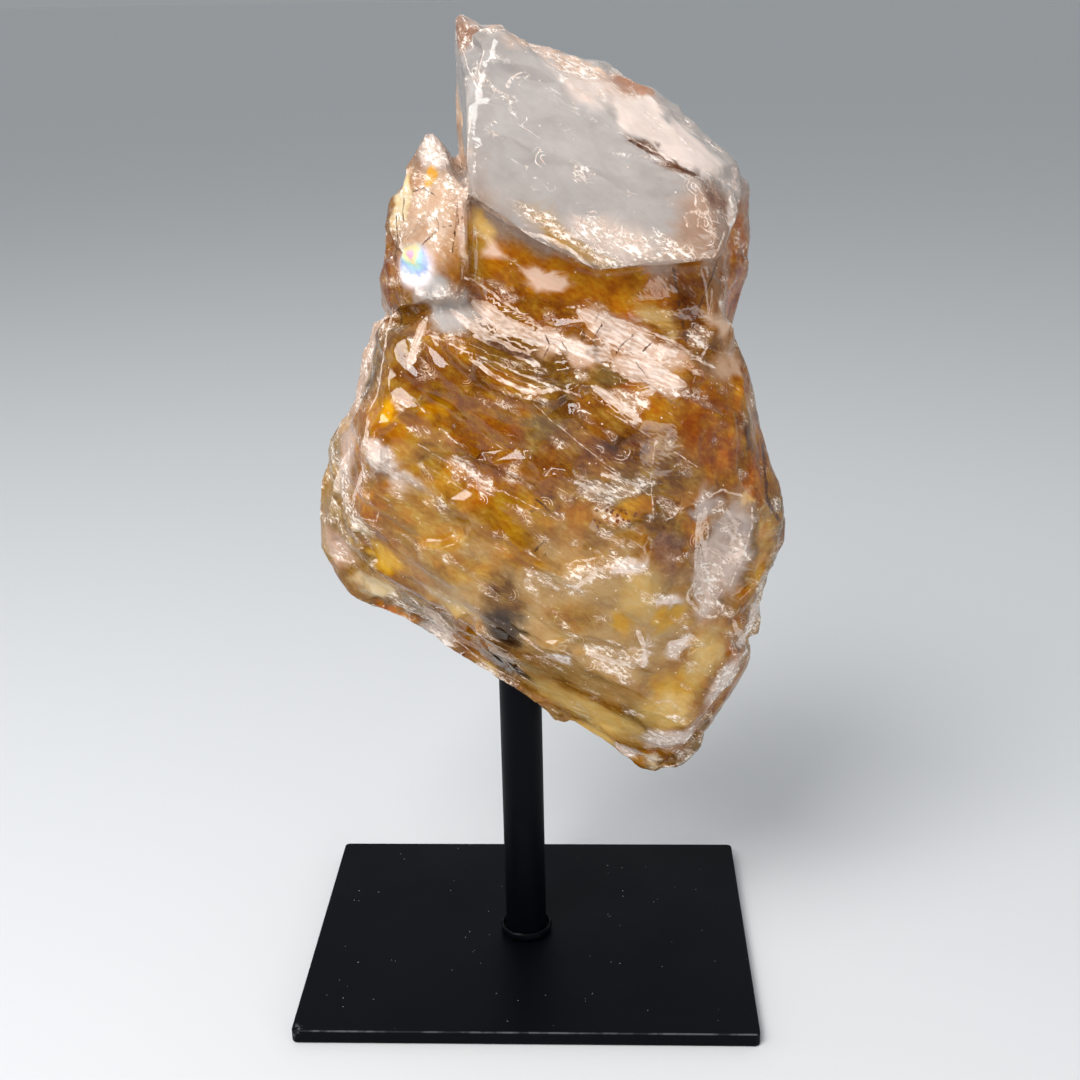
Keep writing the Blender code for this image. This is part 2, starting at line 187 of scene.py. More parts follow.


# %% [markdown]
# ## The colours of the stone
# The quartz itself is as clear as glass. Its honey and rust come from thin films of iron oxide on
# healed fractures, so they change from place to place, and crushed quartz is white for the same
# reason as crushed ice. An image wrapped round the stone would smear on its broken faces, and one
# noise for everything would put the colours in the wrong places. So each point of the skin carries
# four values: the tint of the light there, how milky the stone is, how crushed it is, and how much
# its light and dark vary. They are laid on like glazes, one soft stain over the other, each an
# ellipsoid with a ragged edge. A few stains are painted light and shade, not the stone's colour:
# pale painted reflections of the lamp on the bevel and in the recess, the ledge shadow, and the dark
# of the post seen through the stone. The lighter and darker inner facets are painted light as well.

# %% Names for the colours
GREY_CLEAR = "#C8C2BF"
BEIGE = "#C29A62"
ROSE_WHITE = "#E4CFC4"
ROSE = "#CFAC96"
ROSE_BROWN = "#A2745A"
PEACH = "#CDA88C"
CREAM = "#EBD0A2"
PALE_HONEY = "#E2B66C"
PALE_SMOKY = "#B6904E"
YELLOW_HONEY = "#DAA024"
HONEY = "#C48C2C"
HONEY_BROWN = "#8E6014"
SMOKY = "#8E6C2E"
POST_SHADE_SEEN_THROUGH = "#54402A"
YELLOW = "#D6980E"
GOLD = "#C08208"
AMBER = "#C47A08"
DEEP_GOLD = "#A66404"
BROWN = "#80490A"
DARK_BROWN = "#5E3A20"
RUST = "#935A12"
RED_AMBER = "#B0640E"
print("amber in linear light:", [round(value, 3) for value in linear(AMBER)[:3]])

# %% Where each stain lies
# name: colour (None keeps what is under it), milkiness, crush, middle and half sizes in mm,
# slope of the lie in degrees
STAINS = {
    # the whole lump, and its sides and back
    "neck": (DEEP_GOLD, 0.45, 0.15, (12, 4, 158), (44, 30, 16), 8),
    "block": (GREY_CLEAR, 0.48, 0.15, (15, -2, 190), (40, 32, 25), 22),
    "back of the block": (ROSE_WHITE, 0.55, 0.40, (20, 18, 184), (26, 9, 14), 26),
    "back amber": (AMBER, 0.45, 0.15, (20, 30, 128), (24, 12, 18), -25),
    "back rust": (RUST, 0.45, 0.20, (-12, 30, 122), (16, 12, 20), 30),
    "back pale": (PALE_SMOKY, 0.50, 0.35, (10, 24, 92), (22, 14, 12), -30),
    "back crush": (None, 0.60, 0.90, (4, 32, 108), (26, 9, 6), -28),
    "back ledge": (ROSE, 0.70, 0.45, (14, 26, 150), (26, 10, 6), -20),
    "left side": (PALE_SMOKY, 0.60, 0.45, (-38, 6, 118), (9, 22, 26), 0),
    "left side amber": (AMBER, 0.55, 0.20, (-36, 14, 104), (10, 12, 9), 0),
    "right side": (RUST, 0.50, 0.20, (50, 8, 122), (10, 16, 22), 0),
    "right side pale": (PALE_SMOKY, 0.55, 0.50, (48, 8, 88), (12, 16, 16), 0),
    # the clear block
    "clear face": (GREY_CLEAR, 0.5, 0.06, (14, -21, 180), (23.2, 11, 14.0), 22),
    "face under the crest": (GREY_CLEAR, 0.5, 0.1, (1, -17, 193), (8.9, 7, 8.2), 40),
    "face low right": (ROSE, 0.45, 0.2, (36, -22, 172), (5.2, 6, 7.0), 0),
    "face corner stain": (ROSE_BROWN, 0.45, 0.35, (39, -16, 177), (2.8, 4, 4.8), 0),
    "face bottom edge": (BEIGE, 0.6, 0.45, (13, -24, 169), (11.9, 10, 1.6), 33),
    "face bottom crush": (None, 0.62, 0.8, (25, -24, 168), (8.2, 7, 2.2), 0),
    "face low white": (ROSE_WHITE, 0.66, 0.52, (19, -23, 171), (8.2, 7, 2.5), 22),
    # painted reflection: the bevel band and the band above it are the pale light of the lamp above, mirrored
    # by the bevel and laid on as pale milky stains
    "bevel band": (ROSE_WHITE, 0.92, 0.12, (29, -12, 189), (16.6, 11, 3.4), 33),
    "bevel band upper": (ROSE_WHITE, 0.85, 0.22, (15, -12, 197), (7.9, 6, 3.3), 28),
    "crest": (ROSE, 0.85, 0.75, (10, -2, 202), (20.2, 11, 1.6), 26),
    "crest stain": (ROSE_BROWN, 0.9, 0.15, (24, -2, 196), (4.2, 4, 1.8), 32),
    "tip of the block": (ROSE_BROWN, 0.7, 0.5, (-8, -4, 207), (3.0, 4, 3.6), 20),
    "under the tip": (GREY_CLEAR, 0.35, 0.22, (-7, -10, 201), (3.0, 4, 5.5), 90),
    "speckled line": (DARK_BROWN, 0.75, 0.15, (30, -18, 184), (7.4, 6, 0.8), 30),
    "left face": (PEACH, 0.75, 0.15, (-10, 2, 188), (1.6, 8, 9.6), 0),
    "right edge of the block": (ROSE_WHITE, 0.85, 0.85, (43, -11, 174), (1.2, 7, 8.5), 0),
    # the left shoulder
    "shoulder": (PEACH, 0.78, 0.5, (-16, -14, 174), (6.5, 8, 10.5), 0),
    "shoulder peak": (ROSE_WHITE, 0.7, 0.6, (-15, -6, 185), (2.9, 4, 2.9), 0),
    "shoulder yellow": (YELLOW, 0.78, 0.08, (-16, -8, 181), (1.4, 4, 2.2), 0),
    "shoulder stain": (CREAM, 0.8, 0.4, (-22, -7, 175), (1.6, 5, 6.2), 0),
    "shoulder stripes": (ROSE, 0.8, 0.5, (-9, -17, 175), (1.3, 8, 9.6), 0),
    "shoulder edge": (BROWN, 0.8, 0.4, (-25, -9, 161), (1.2, 4, 5.4), 0),
    # the recess under the block
    "recess": (AMBER, 0.5, 0.05, (9, -15, 162), (17.4, 11, 4.9), 16),
    "recess left": (HONEY, 0.55, 0.1, (-7, -14, 168), (2.3, 4, 5.3), 0),
    "recess yellow": (PALE_HONEY, 0.75, 0.3, (-5, -13, 172), (3.1, 4, 1.8), 45),
    # painted reflections: the next two stains are the pale light of the lamp above, mirrored by facets in
    # the recess
    "painted reflection, left": (ROSE, 0.98, 0.2, (-3, -14, 167), (2.9, 4, 1.8), 30),
    "painted reflection, right": (ROSE, 0.98, 0.12, (7, -15, 162), (5.4, 4, 2.4), 12),
    "recess gold right": (AMBER, 0.6, 0.05, (24, -15, 159), (7.7, 6, 4.1), 15),
    "recess brown right": (RUST, 0.6, 0.1, (35, -14, 159), (3.5, 6, 7.4), 0),
    "recess olive": (PALE_HONEY, 0.55, 0.3, (28, -15, 154), (4.7, 4, 2.0), 33),
    "right flank": (RED_AMBER, 0.8, 0.25, (45, -3, 162), (3.0, 10, 13.0), 0),
    "right flank low": (PEACH, 0.8, 0.4, (41, -12, 152), (2.2, 4, 4.1), 0),
    # the ledge
    "ledge brown": (HONEY_BROWN, 0.45, 0.1, (0, -22, 150), (10.0, 8, 4.8), 33),
    "ledge middle": (ROSE, 0.75, 0.35, (11, -23, 150), (6.5, 5, 2.8), 20),
    "ledge right": (ROSE, 0.8, 0.35, (21, -18, 151), (7.3, 6, 3.3), 33),
    "ledge far right": (ROSE, 0.85, 0.25, (30, -20, 148), (3.9, 4, 2.0), 25),
    "ledge front": (ROSE, 0.8, 0.6, (27, -22, 144), (6.2, 5, 3.2), 25),
    "ledge crush": (None, 0.62, 0.62, (23, -29, 141), (5.7, 5, 2.6), 30),
    "ledge shadow": (SMOKY, 0.45, 0.3, (19, -26, 146), (3.0, 4, 2.2), 20),
    "ledge olive": (HONEY_BROWN, 0.45, 0.08, (9, -25, 146), (5.0, 4, 2.0), 15),
    "ledge glass": (None, 0.55, 0.86, (36, -15, 150), (2.1, 4, 2.5), 0),
    "shoulder foot": (GREY_CLEAR, 0.6, 0.12, (-13, -16, 158), (8.9, 7, 4.1), 38),
    # the body
    "lower stone": (BEIGE, 0.58, 0.12, (9, -28, 96), (38.1, 11, 16.9), 15),
    "body brown high": (HONEY_BROWN, 0.55, 0.03, (-21, -20, 150), (4.6, 4, 5.3), 60),
    "white wedge": (None, 0.62, 0.8, (-19, -22, 149), (1.3, 4, 4.5), -20),
    "body gold high": (DEEP_GOLD, 0.3, 0.12, (-12, -26, 145), (9.2, 7, 5.6), 25),
    "yellow spot": (YELLOW, 0.82, 0.2, (-24, -25, 138), (2.1, 4, 3.1), 0),
    "yellow streak": (GOLD, 0.6, 0.2, (-15, -25, 139), (3.9, 4, 2.4), 0),
    "body gold": (DEEP_GOLD, 0.42, 0.05, (-3, -27, 133), (7.3, 6, 7.3), 0),
    "body smoky": (SMOKY, 0.45, 0.1, (6, -29, 134), (4.2, 5, 5.6), 0),
    "body smoky left": (HONEY, 0.6, 0.1, (-17, -25, 127), (6.6, 5, 5.4), 0),
    "crush under the yellow": (ROSE_WHITE, 0.75, 0.86, (-26, -27, 129), (4.3, 4, 2.9), 35),
    "crush middle left": (None, 0.62, 0.86, (-8, -26, 125), (5.9, 5, 2.3), 33),
    "crush lower left": (ROSE_WHITE, 0.75, 0.72, (-20, -25, 122), (3.9, 4, 3.5), 20),
    "amber left": (AMBER, 0.8, 0.12, (-30, -23, 119), (3.6, 4, 3.4), 0),
    "striations left": (CREAM, 0.8, 0.6, (-32, -17, 111), (2.9, 4, 1.5), 20),
    "body honey low": (HONEY, 0.55, 0.12, (-17, -25, 116), (7.9, 6, 7.1), 10),
    "body amber": (GOLD, 0.45, 0.1, (0, -29, 117), (7.4, 6, 6.2), 0),
    "rust middle": (RUST, 0.5, 0.1, (8, -30, 128), (3.8, 5, 5.7), 0),
    "rose middle": (HONEY, 0.6, 0.2, (6, -30, 121), (2.7, 4, 1.8), 0),
    "body brown middle": (HONEY_BROWN, 0.4, 0.1, (9, -30, 140), (4.5, 4, 3.2), 30),
    "ring brown": (BROWN, 0.55, 0.04, (20, -32, 133), (5.7, 5, 4.4), 25),
    "ring light": (DARK_BROWN, 0.45, 0.03, (19, -32, 134), (1.7, 4, 1.8), 0),
    "rust under the ring": (BROWN, 0.65, 0.03, (15, -30, 129), (3.1, 4, 2.8), 30),
    "crush middle": (None, 0.62, 0.86, (19, -30, 124), (6.5, 5, 2.0), -12),
    "olive middle": (HONEY_BROWN, 0.55, 0.08, (30, -30, 126), (3.1, 4, 4.0), 0),
    "dotted yellow": (GOLD, 0.84, 0.03, (23, -30, 119), (5.2, 4, 3.1), -25),
    "rose by the dots": (BEIGE, 0.8, 0.3, (17, -29, 119), (2.7, 4, 1.6), 0),
    "brown by the oval": (HONEY_BROWN, 0.6, 0.12, (30, -26, 113), (3.9, 5, 5.8), 0),
    # the left bevel
    "left bevel high": (ROSE, 0.8, 0.5, (-32, -2, 142), (3.1, 11, 13.5), 20),
    "left bevel": (ROSE, 0.72, 0.35, (-34, -13, 127), (3.3, 7, 8.6), 14),
    "left bevel crush": (None, 0.62, 0.86, (-36, -12, 120), (2.3, 6, 6.9), 8),
    "left bevel edge": (BEIGE, 0.5, 0.15, (-42, -2, 112), (1.7, 9, 10.8), 6),
    "left bevel low": (ROSE, 0.76, 0.2, (-39, -5, 103), (3.2, 4, 5.4), -20),
    # the right shoulder
    "right shoulder": (RED_AMBER, 0.6, 0.04, (39, -24, 134), (8.9, 7, 8.1), 45),
    "right shoulder olive": (DEEP_GOLD, 0.6, 0.03, (40, -20, 138), (5.1, 4, 4.1), 50),
    "right shoulder top": (PEACH, 0.6, 0.2, (42, -13, 144), (2.6, 4, 3.7), 60),
    "right shoulder amber": (RED_AMBER, 0.65, 0.06, (40, -23, 128), (5.9, 5, 3.7), 20),
    "right edge red": (RED_AMBER, 0.75, 0.2, (48, -16, 121), (2.6, 4, 5.5), -20),
    "right edge line": (DARK_BROWN, 0.7, 0.05, (46, -17, 130), (0.8, 4, 4.2), -15),
    "right shoulder yellow": (YELLOW, 0.9, 0.2, (46, -19, 119), (1.6, 4, 1.1), 30),
    # the clear oval and the right edge
    "oval": (ROSE_WHITE, 0.58, 0.35, (42, -17, 106), (5.3, 11, 13.3), 10),
    "oval top": (ROSE_WHITE, 0.55, 0.5, (38, -25, 119), (2.7, 4, 3.7), 0),
    "oval foot": (ROSE_WHITE, 0.65, 0.85, (39, -17, 98), (3.7, 5, 5.6), 12),
    "right edge": (HONEY, 0.65, 0.12, (51, -12, 109), (2.5, 7, 8.7), -10),
    "right edge low": (HONEY, 0.6, 0.12, (50, -13, 99), (2.9, 5, 6.6), 10),
    "right edge pale": (ROSE_WHITE, 0.85, 0.8, (49, -7, 88), (2.4, 4, 4.1), 10),
    "right edge crush": (ROSE_WHITE, 0.85, 1.0, (47, -8, 82), (2.4, 4, 3.2), 10),
    "right edge rose": (ROSE_WHITE, 0.84, 0.86, (43, -13, 74), (3.0, 5, 6.8), 20),
    # the lower body
    "crush low left": (None, 0.62, 0.86, (15, -30, 106), (7.1, 6, 2.9), -30),
    "crush low right": (ROSE_WHITE, 0.75, 0.86, (23, -29, 107), (3.3, 4, 2.1), 0),
    "lower body": (BEIGE, 0.58, 0.12, (17, -28, 94), (12.0, 10, 9.7), 20),
    "lower brown": (ROSE_BROWN, 0.5, 0.1, (30, -26, 109), (3.2, 4, 3.8), 0),
    "lower smoky": (PALE_HONEY, 0.55, 0.1, (25, -28, 100), (4.8, 4, 5.0), 0),
    "lower gold": (HONEY, 0.42, 0.04, (11, -28, 96), (5.2, 4, 3.8), 10),
    "lower yellow": (YELLOW_HONEY, 0.6, 0.1, (21, -27, 95), (1.8, 4, 3.0), -20),
    "gold by the oval": (YELLOW_HONEY, 0.6, 0.1, (31, -24, 94), (4.1, 4, 3.8), 0),
    "crush under the oval": (ROSE_WHITE, 0.8, 0.86, (30, -26, 99), (3.2, 4, 1.3), 0),
    "crush lower": (None, 0.65, 0.9, (19, -26, 86), (6.5, 5, 2.6), 14),
    "white blade": (ROSE_WHITE, 0.8, 1.0, (26, -26, 87), (1.0, 4, 3.6), 12),
    "feathers": (PALE_SMOKY, 0.7, 0.7, (11, -27, 91), (3.2, 4, 1.9), 40),
    "white fleck": (ROSE_WHITE, 0.8, 1.0, (8, -24, 85), (2.1, 4, 1.5), 0),
    "crush right": (ROSE_WHITE, 0.8, 1.0, (33, -21, 87), (3.3, 4, 1.5), -28),
    "lower amber": (YELLOW_HONEY, 0.72, 0.1, (32, -19, 77), (7.5, 6, 4.8), 0),
    "lower right": (PALE_HONEY, 0.6, 0.2, (39, -18, 84), (4.6, 6, 7.0), 0),
    "low band": (BEIGE, 0.62, 0.1, (19, -21, 76), (9.2, 7, 3.7), 25),
    "bottom bevel": (PALE_HONEY, 0.84, 0.03, (12, -12, 68), (17.3, 11, 4.8), 31),
    "bottom bevel gold": (PALE_HONEY, 0.84, 0.03, (15, -5, 59), (6.7, 5, 2.1), 28),
    "toward the tip": (PALE_HONEY, 0.76, 0.25, (30, -18, 70), (7.2, 6, 6.2), 20),
    "tip": (ROSE_WHITE, 0.84, 0.86, (32, -12, 60), (6.1, 5, 4.6), 0),
    "tip crush": (ROSE_WHITE, 0.84, 1.0, (23, -5, 54), (3.8, 4, 2.1), 33),
    "tip amber": (CREAM, 0.84, 0.85, (28, -5, 52), (2.7, 4, 2.1), 0),
    # the lower left
    "yellow low": (YELLOW_HONEY, 0.78, 0.1, (-26, -18, 105), (4.9, 4, 2.8), 35),
    "pale low": (CREAM, 0.65, 0.2, (-31, -8, 95), (4.3, 4, 2.9), 0),
    "honey low": (HONEY, 0.62, 0.08, (-11, -27, 106), (8.4, 7, 4.2), 5),
    "amber edge": (AMBER, 0.78, 0.15, (-27, -5, 88), (5.7, 5, 1.4), 33),
    "crush low edge": (ROSE_WHITE, 0.75, 0.86, (-18, -5, 83), (4.2, 4, 3.0), 45),
    "pale by the post": (PALE_HONEY, 0.55, 0.18, (-14, -21, 96), (4.9, 4, 2.6), 10),
    "gold low middle": (GOLD, 0.6, 0.1, (1, -30, 109), (5.9, 5, 3.3), 15),
    "crush feathers": (None, 0.62, 0.6, (5, -29, 105), (3.2, 4, 2.1), 20),
    # painted shade: these three stains are the dark post in its hole, seen through the stone, laid on the
    # skin as dark colour
    "post seen through, high": (HONEY_BROWN, 0.5, 0.05, (-2, -27, 101), (4.0, 4, 5.0), 0),
    "post seen through": (POST_SHADE_SEEN_THROUGH, 0.5, 0.08, (-3, -25, 91), (3.9, 6, 7.3), 0),
    "post seen through, low": (POST_SHADE_SEEN_THROUGH, 0.55, 0.08, (-4, -11, 78), (4.7, 4, 4.5), 30),
    "rose by the post": (BEIGE, 0.55, 0.12, (3, -17, 80), (5.1, 4, 3.1), 30),
    "cream under the post": (PALE_HONEY, 0.75, 0.45, (-8, -5, 74), (3.5, 4, 1.4), 38),
}


def turned(points, lie):
    """The points turned about Y, so that x runs along a line that falls by this angle."""
    angle = math.radians(lie)
    x = points[:, 0] * math.cos(angle) - points[:, 2] * math.sin(angle)
    z = points[:, 0] * math.sin(angle) + points[:, 2] * math.cos(angle)
    return np.stack([x, points[:, 1], z], axis=1)


def nearness(points, middle, half_sizes, lie, softness):
    """1 well inside the ellipsoid, 0 well outside, and a soft edge of this width between."""
    reach = np.linalg.norm(turned(points - np.array(middle), lie) / np.array(half_sizes), axis=1)
    value = np.clip((1 - reach) / softness + 0.5, 0, 1)
    return value * value * (3 - 2 * value)


def points_in_mm(mesh):
    """The mesh's points, as rows of millimetres."""
    flat = np.empty(len(mesh.vertices) * 3)
    mesh.vertices.foreach_get("co", flat)
    return flat.reshape(-1, 3) / MM


def write_attribute(mesh, name, values, kind="FLOAT"):
    """Stores one value for each point of the mesh under this name."""
    attribute = mesh.attributes.new(name, kind, "POINT")
    field = {"FLOAT": "value", "FLOAT_VECTOR": "vector", "FLOAT_COLOR": "color"}[kind]
    attribute.data.foreach_set(field, np.ascontiguousarray(values, dtype=np.float32).ravel())


STAIN_GAIN = 1.25  # a painted colour is seen darker than it is, in the shade of the front
SOLID_MILK = 0.85  # from here on a stain is solid: even, with a crisp edge
PALE = 0.95  # a tint whose three channels add up to more is pale, and calmer than a deep one
CRISP_EDGE = 0.30  # the width of a stain's edge, as a share of its size
SOFT_EDGE = 0.75
WANDER = ((2.2, 7.0), (1.5, 2.1))  # how far an edge wanders in mm, and over what length
WANDER_SEED = 1795483841
DRIFT_SIZES = (15, 6)  # mm, of the lumps in which the base drifts from smoky to amber
CLOUD_SIZES = (5, 2.5)  # mm, of the clouds inside it
BASE_MILK = 0.50
CLOUD_SHARE = 0.16  # how much lighter and darker the clouds and the inner facets are
# the inner facets' light and dark is painted light: each fracture plane inside is made lighter or darker, as
# it would catch the light its own way
FACET_LIGHT_SHARE = 0.20
FACET_SIZE = 4.6  # mm


noise.seed_set(WANDER_SEED)  # without a seed, noise_vector starts from the clock at every run


def two_sizes(place, large, small):
    """A noise in lumps of the large size, with half as strong ones of the small size over it."""
    return noise.noise(place / large) + 0.5 * noise.noise(place / small)


def unevenness(colour, milkiness):
    """How much of the stone's own light and dark shows through a stain."""
    if milkiness > SOLID_MILK or colour == GREY_CLEAR:
        return 0.3
    return 0.6 if sum(linear(colour)[:3]) > PALE else 1.0


def painted(points):
    """The tint, milkiness, crush and unevenness at each point in mm."""
    shifted = np.empty_like(points)
    drift, cloud, facet_light = np.empty((3, len(points)))
    for i, point in enumerate(points):
        place = Vector(point)
        shift = Vector()
        for reach, length in WANDER:
            shift += reach * noise.noise_vector(place / length)
        shifted[i] = place + shift
        drift[i] = two_sizes(place, *DRIFT_SIZES)
        cloud[i] = two_sizes(place, *CLOUD_SIZES)
        facet_light[i] = noise.cell(noise.voronoi(place / FACET_SIZE)[1][0] * 37) - 0.5
    # the base drifts from smoky through honey to amber
    share = np.clip(0.5 + 0.9 * drift, 0, 1)[:, None]
    tint = np.array(linear(SMOKY)) * (1 - share) + np.array(linear(AMBER)) * share
    milk = np.full(len(points), BASE_MILK)
    crush = np.clip(0.22 - 0.4 * drift, 0.05, 0.6)
    uneven = np.ones(len(points))
    for colour, milkiness, crushed, middle, half_sizes, lie in STAINS.values():
        softness = CRISP_EDGE if milkiness > SOLID_MILK else SOFT_EDGE
        near = nearness(shifted, middle, half_sizes, lie, softness)
        if colour is not None:
            tint += near[:, None] * (np.array(linear(colour)) - tint)
            uneven += near * (unevenness(colour, milkiness) - uneven)
        milk += near * (milkiness - milk)
        crush += near * (crushed - crush)
    tint = 1 - (1 - tint) ** STAIN_GAIN
    # the clouds are the stone's own tone; the facets' light and dark is painted light
    tint *= (1 + (CLOUD_SHARE * cloud + FACET_LIGHT_SHARE * facet_light) * uneven)[:, None]
    return np.clip(tint, 0, 1), milk, crush, uneven


print("stains:", len(STAINS))

# %% [markdown]
# ## The stone's finer surface
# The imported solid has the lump's form, its ledges and its larger fractures. Quartz also breaks
# into small shells and hackles, down to less than a millimetre, and these are what glitters. A bump
# in the material would glitter as well, but it can't break up the outline. So the solid's faces are
# split into a dozen quads or more, and every point moves along its normal by two sizes of Voronoi
# cells. Each cell leans its own way, as a chip does. The chips are deep where the stone is crushed
# and nearly absent where it broke clean.

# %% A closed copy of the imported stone
POST_X = -1.2  # mm
HOLE_MARGIN = 6.5  # nothing chips within this many mm of the post's axis
CLEAN_FACE = ((17, -19, 184), (31, 8, 19), 22)  # middle, half sizes and slope, as in a stain
LEAST_CHIPPED = 0.1  # the share of the chips' depth that is left where the stone broke clean
FLAT_ANGLE = math.radians(1)  # triangles this flat to each other make one quad, and split finer
QUAD_SKEW = math.radians(40)  # unless the quad would be less regular than this


def merged_copy(node, name, with_quads=False):
    """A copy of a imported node's mesh, with its loose triangles merged into one closed skin."""
    bm = bmesh.new()
    bm.from_mesh(nodes[node].data)
    bmesh.ops.remove_doubles(bm, verts=bm.verts, dist=0.001 * MM)
    if with_quads:
        bmesh.ops.join_triangles(
            bm, faces=bm.faces, angle_face_threshold=FLAT_ANGLE, angle_shape_threshold=QUAD_SKEW
        )
    mesh = bpy.data.meshes.new(name)
    bm.to_mesh(mesh)
    bm.free()
    piece = bpy.data.objects.new(name, mesh)
    bpy.context.collection.objects.link(piece)
    return piece


stone = merged_copy("quartz", "golden_quartz", with_quads=True)
stone_points = points_in_mm(stone.data)
chips = LEAST_CHIPPED + (1 - LEAST_CHIPPED) * painted(stone_points)[2]
chips *= 1 - (1 - LEAST_CHIPPED) * nearness(stone_points, *CLEAN_FACE, CRISP_EDGE)
in_the_hole = np.hypot(stone_points[:, 0] - POST_X, stone_points[:, 1]) < HOLE_MARGIN
chips[in_the_hole] = 0.0
write_attribute(stone.data, "chips", chips)
print("stone before splitting:", len(stone.data.polygons), "faces")

# %% The chipping tree
CHIP_SIZE = 3.0 * MM
CHIP_DEPTH = 0.50 * MM
HACKLE_SIZE = 1.3 * MM
HACKLE_DEPTH = 0.22 * MM
CELL_LEAN = 1.6  # how steeply a cell may lean, against how hollow it is


def leaning_cells(tree, position, size, depth):
    """A height field of Voronoi cells of this size, each one a hollow that leans its own way."""
    inverse = add_node(tree, "ShaderNodeMath", {0: 1.0, 1: size}, operation="DIVIDE")
    scaled = add_node(tree, "ShaderNodeVectorMath", {0: position, "Scale": inverse}, operation="SCALE")
    cells = add_node(tree, "ShaderNodeTexVoronoi", {"Vector": scaled, "Scale": 1.0})
    own = add_node(
        tree, "ShaderNodeVectorMath", {0: cells.outputs["Color"], 1: (0.5, 0.5, 0.5)},
        operation="SUBTRACT",
    )
    away = add_node(
        tree, "ShaderNodeVectorMath", {0: scaled, 1: cells.outputs["Position"]},
        operation="SUBTRACT",
    )
    lean = add_node(tree, "ShaderNodeVectorMath", {0: own, 1: away}, operation="DOT_PRODUCT")
    hollow = add_node(tree, "ShaderNodeMath", {0: cells.outputs["Distance"], 1: 2.0}, operation="POWER")
    height = add_node(
        tree, "ShaderNodeMath", {0: lean.outputs["Value"], 1: CELL_LEAN, 2: hollow},
        operation="MULTIPLY_ADD",
    )
    return add_node(tree, "ShaderNodeMath", {0: height, 1: depth}, operation="MULTIPLY")


def chipping_tree():
    """Splits the skin finer and breaks it into chips and hackles by the attribute chips."""
    tree, start, end = new_tree("chipping", {
        "Levels": "Int", "Chip size": "Float", "Chip depth": "Float", "Hackle size": "Float",
        "Hackle depth": "Float", "Material": "Material",
    })
    split = add_node(tree, "GeometryNodeSubdivideMesh", {
        "Mesh": start.outputs["Geometry"], "Level": start.outputs["Levels"],
    })
    position = add_node(tree, "GeometryNodeInputPosition").outputs[0]
    normal = add_node(tree, "GeometryNodeInputNormal").outputs[0]
    weight = add_node(tree, "GeometryNodeInputNamedAttribute", {"Name": "chips"})
    chip, hackle = (
        leaning_cells(tree, position, start.outputs[f"{name} size"], start.outputs[f"{name} depth"])
        for name in ("Chip", "Hackle")
    )
    both = add_node(tree, "ShaderNodeMath", {0: chip, 1: hackle}, operation="ADD")
    height = add_node(
        tree, "ShaderNodeMath", {0: both, 1: weight.outputs["Attribute"]}, operation="MULTIPLY"
    )
    offset = add_node(tree, "ShaderNodeVectorMath", {0: normal, "Scale": height}, operation="SCALE")
    moved = add_node(tree, "GeometryNodeSetPosition", {"Geometry": split, "Offset": offset})
    return finish_tree(tree, start, end, moved)


print("chips and hackle in mm:", CHIP_SIZE / MM, HACKLE_SIZE / MM)

# %% [markdown]
# ## The white crush and the fine lines
# Most of what sparkles in broken quartz is too fine for a mesh, so the shader draws it, with every
# size in millimetres. Crush comes as lace: clusters of curled threads and small jagged flakes in a
# thin white haze, stretched along the cleavage, which falls to the right by 33 degrees. Between
# the clusters run single feathers, where a fracture comes to the surface, straight hairlines along
# the cleavage, and single glints, which are painted highlights. Each is one pattern: a noise or a
# Voronoi texture, cut off sharply at some value.

# %% Patterns along the cleavage
CLEAVAGE_FALL = math.radians(33)
THREADS = 4.0  # threads between the lowest and highest value of the curls
HAIRLINE_GAP = 12.0  # mm from one to the next, on average


def along_cleavage(tree, place, sizes):
    """The place in mm, turned so that x lies along the cleavage, in units of these sizes."""
    return add_node(tree, "ShaderNodeMapping", {
        "Vector": place, "Rotation": (0, CLEAVAGE_FALL, 0), "Scale": sizes,
    }, vector_type="TEXTURE")


def lace(tree, crush, clusters, grains, curls):
    """How strong the lace is at a place, and its threads and flakes."""
    lifted = add_node(tree, "ShaderNodeMath", {0: crush, 1: 0.55, 2: clusters}, operation="MULTIPLY_ADD")
    strength = add_node(tree, "ShaderNodeMapRange", {"Value": lifted, "From Min": 0.68, "From Max": 1.05})
    raised = add_node(tree, "ShaderNodeMath", {0: strength, 1: 0.16, 2: grains}, operation="MULTIPLY_ADD")
    flakes = add_node(tree, "ShaderNodeMapRange", {"Value": raised, "From Min": 0.62, "From Max": 0.70})
    turns = add_node(tree, "ShaderNodeMath", {0: curls, 1: math.tau * THREADS}, operation="MULTIPLY")
    wave = add_node(tree, "ShaderNodeMath", {0: turns}, operation="SINE")
    thread = add_node(tree, "ShaderNodeMapRange", {
        "Value": wave, "From Min": 0.70, "From Max": 0.98, "To Max": 0.75,
    })
    both = add_node(tree, "ShaderNodeMath", {0: flakes, 1: thread}, operation="MAXIMUM")
    gate = add_node(tree, "ShaderNodeMapRange", {"Value": strength, "From Min": 0.05, "From Max": 0.35})
    return strength, add_node(tree, "ShaderNodeMath", {0: both, 1: gate}, operation="MULTIPLY")


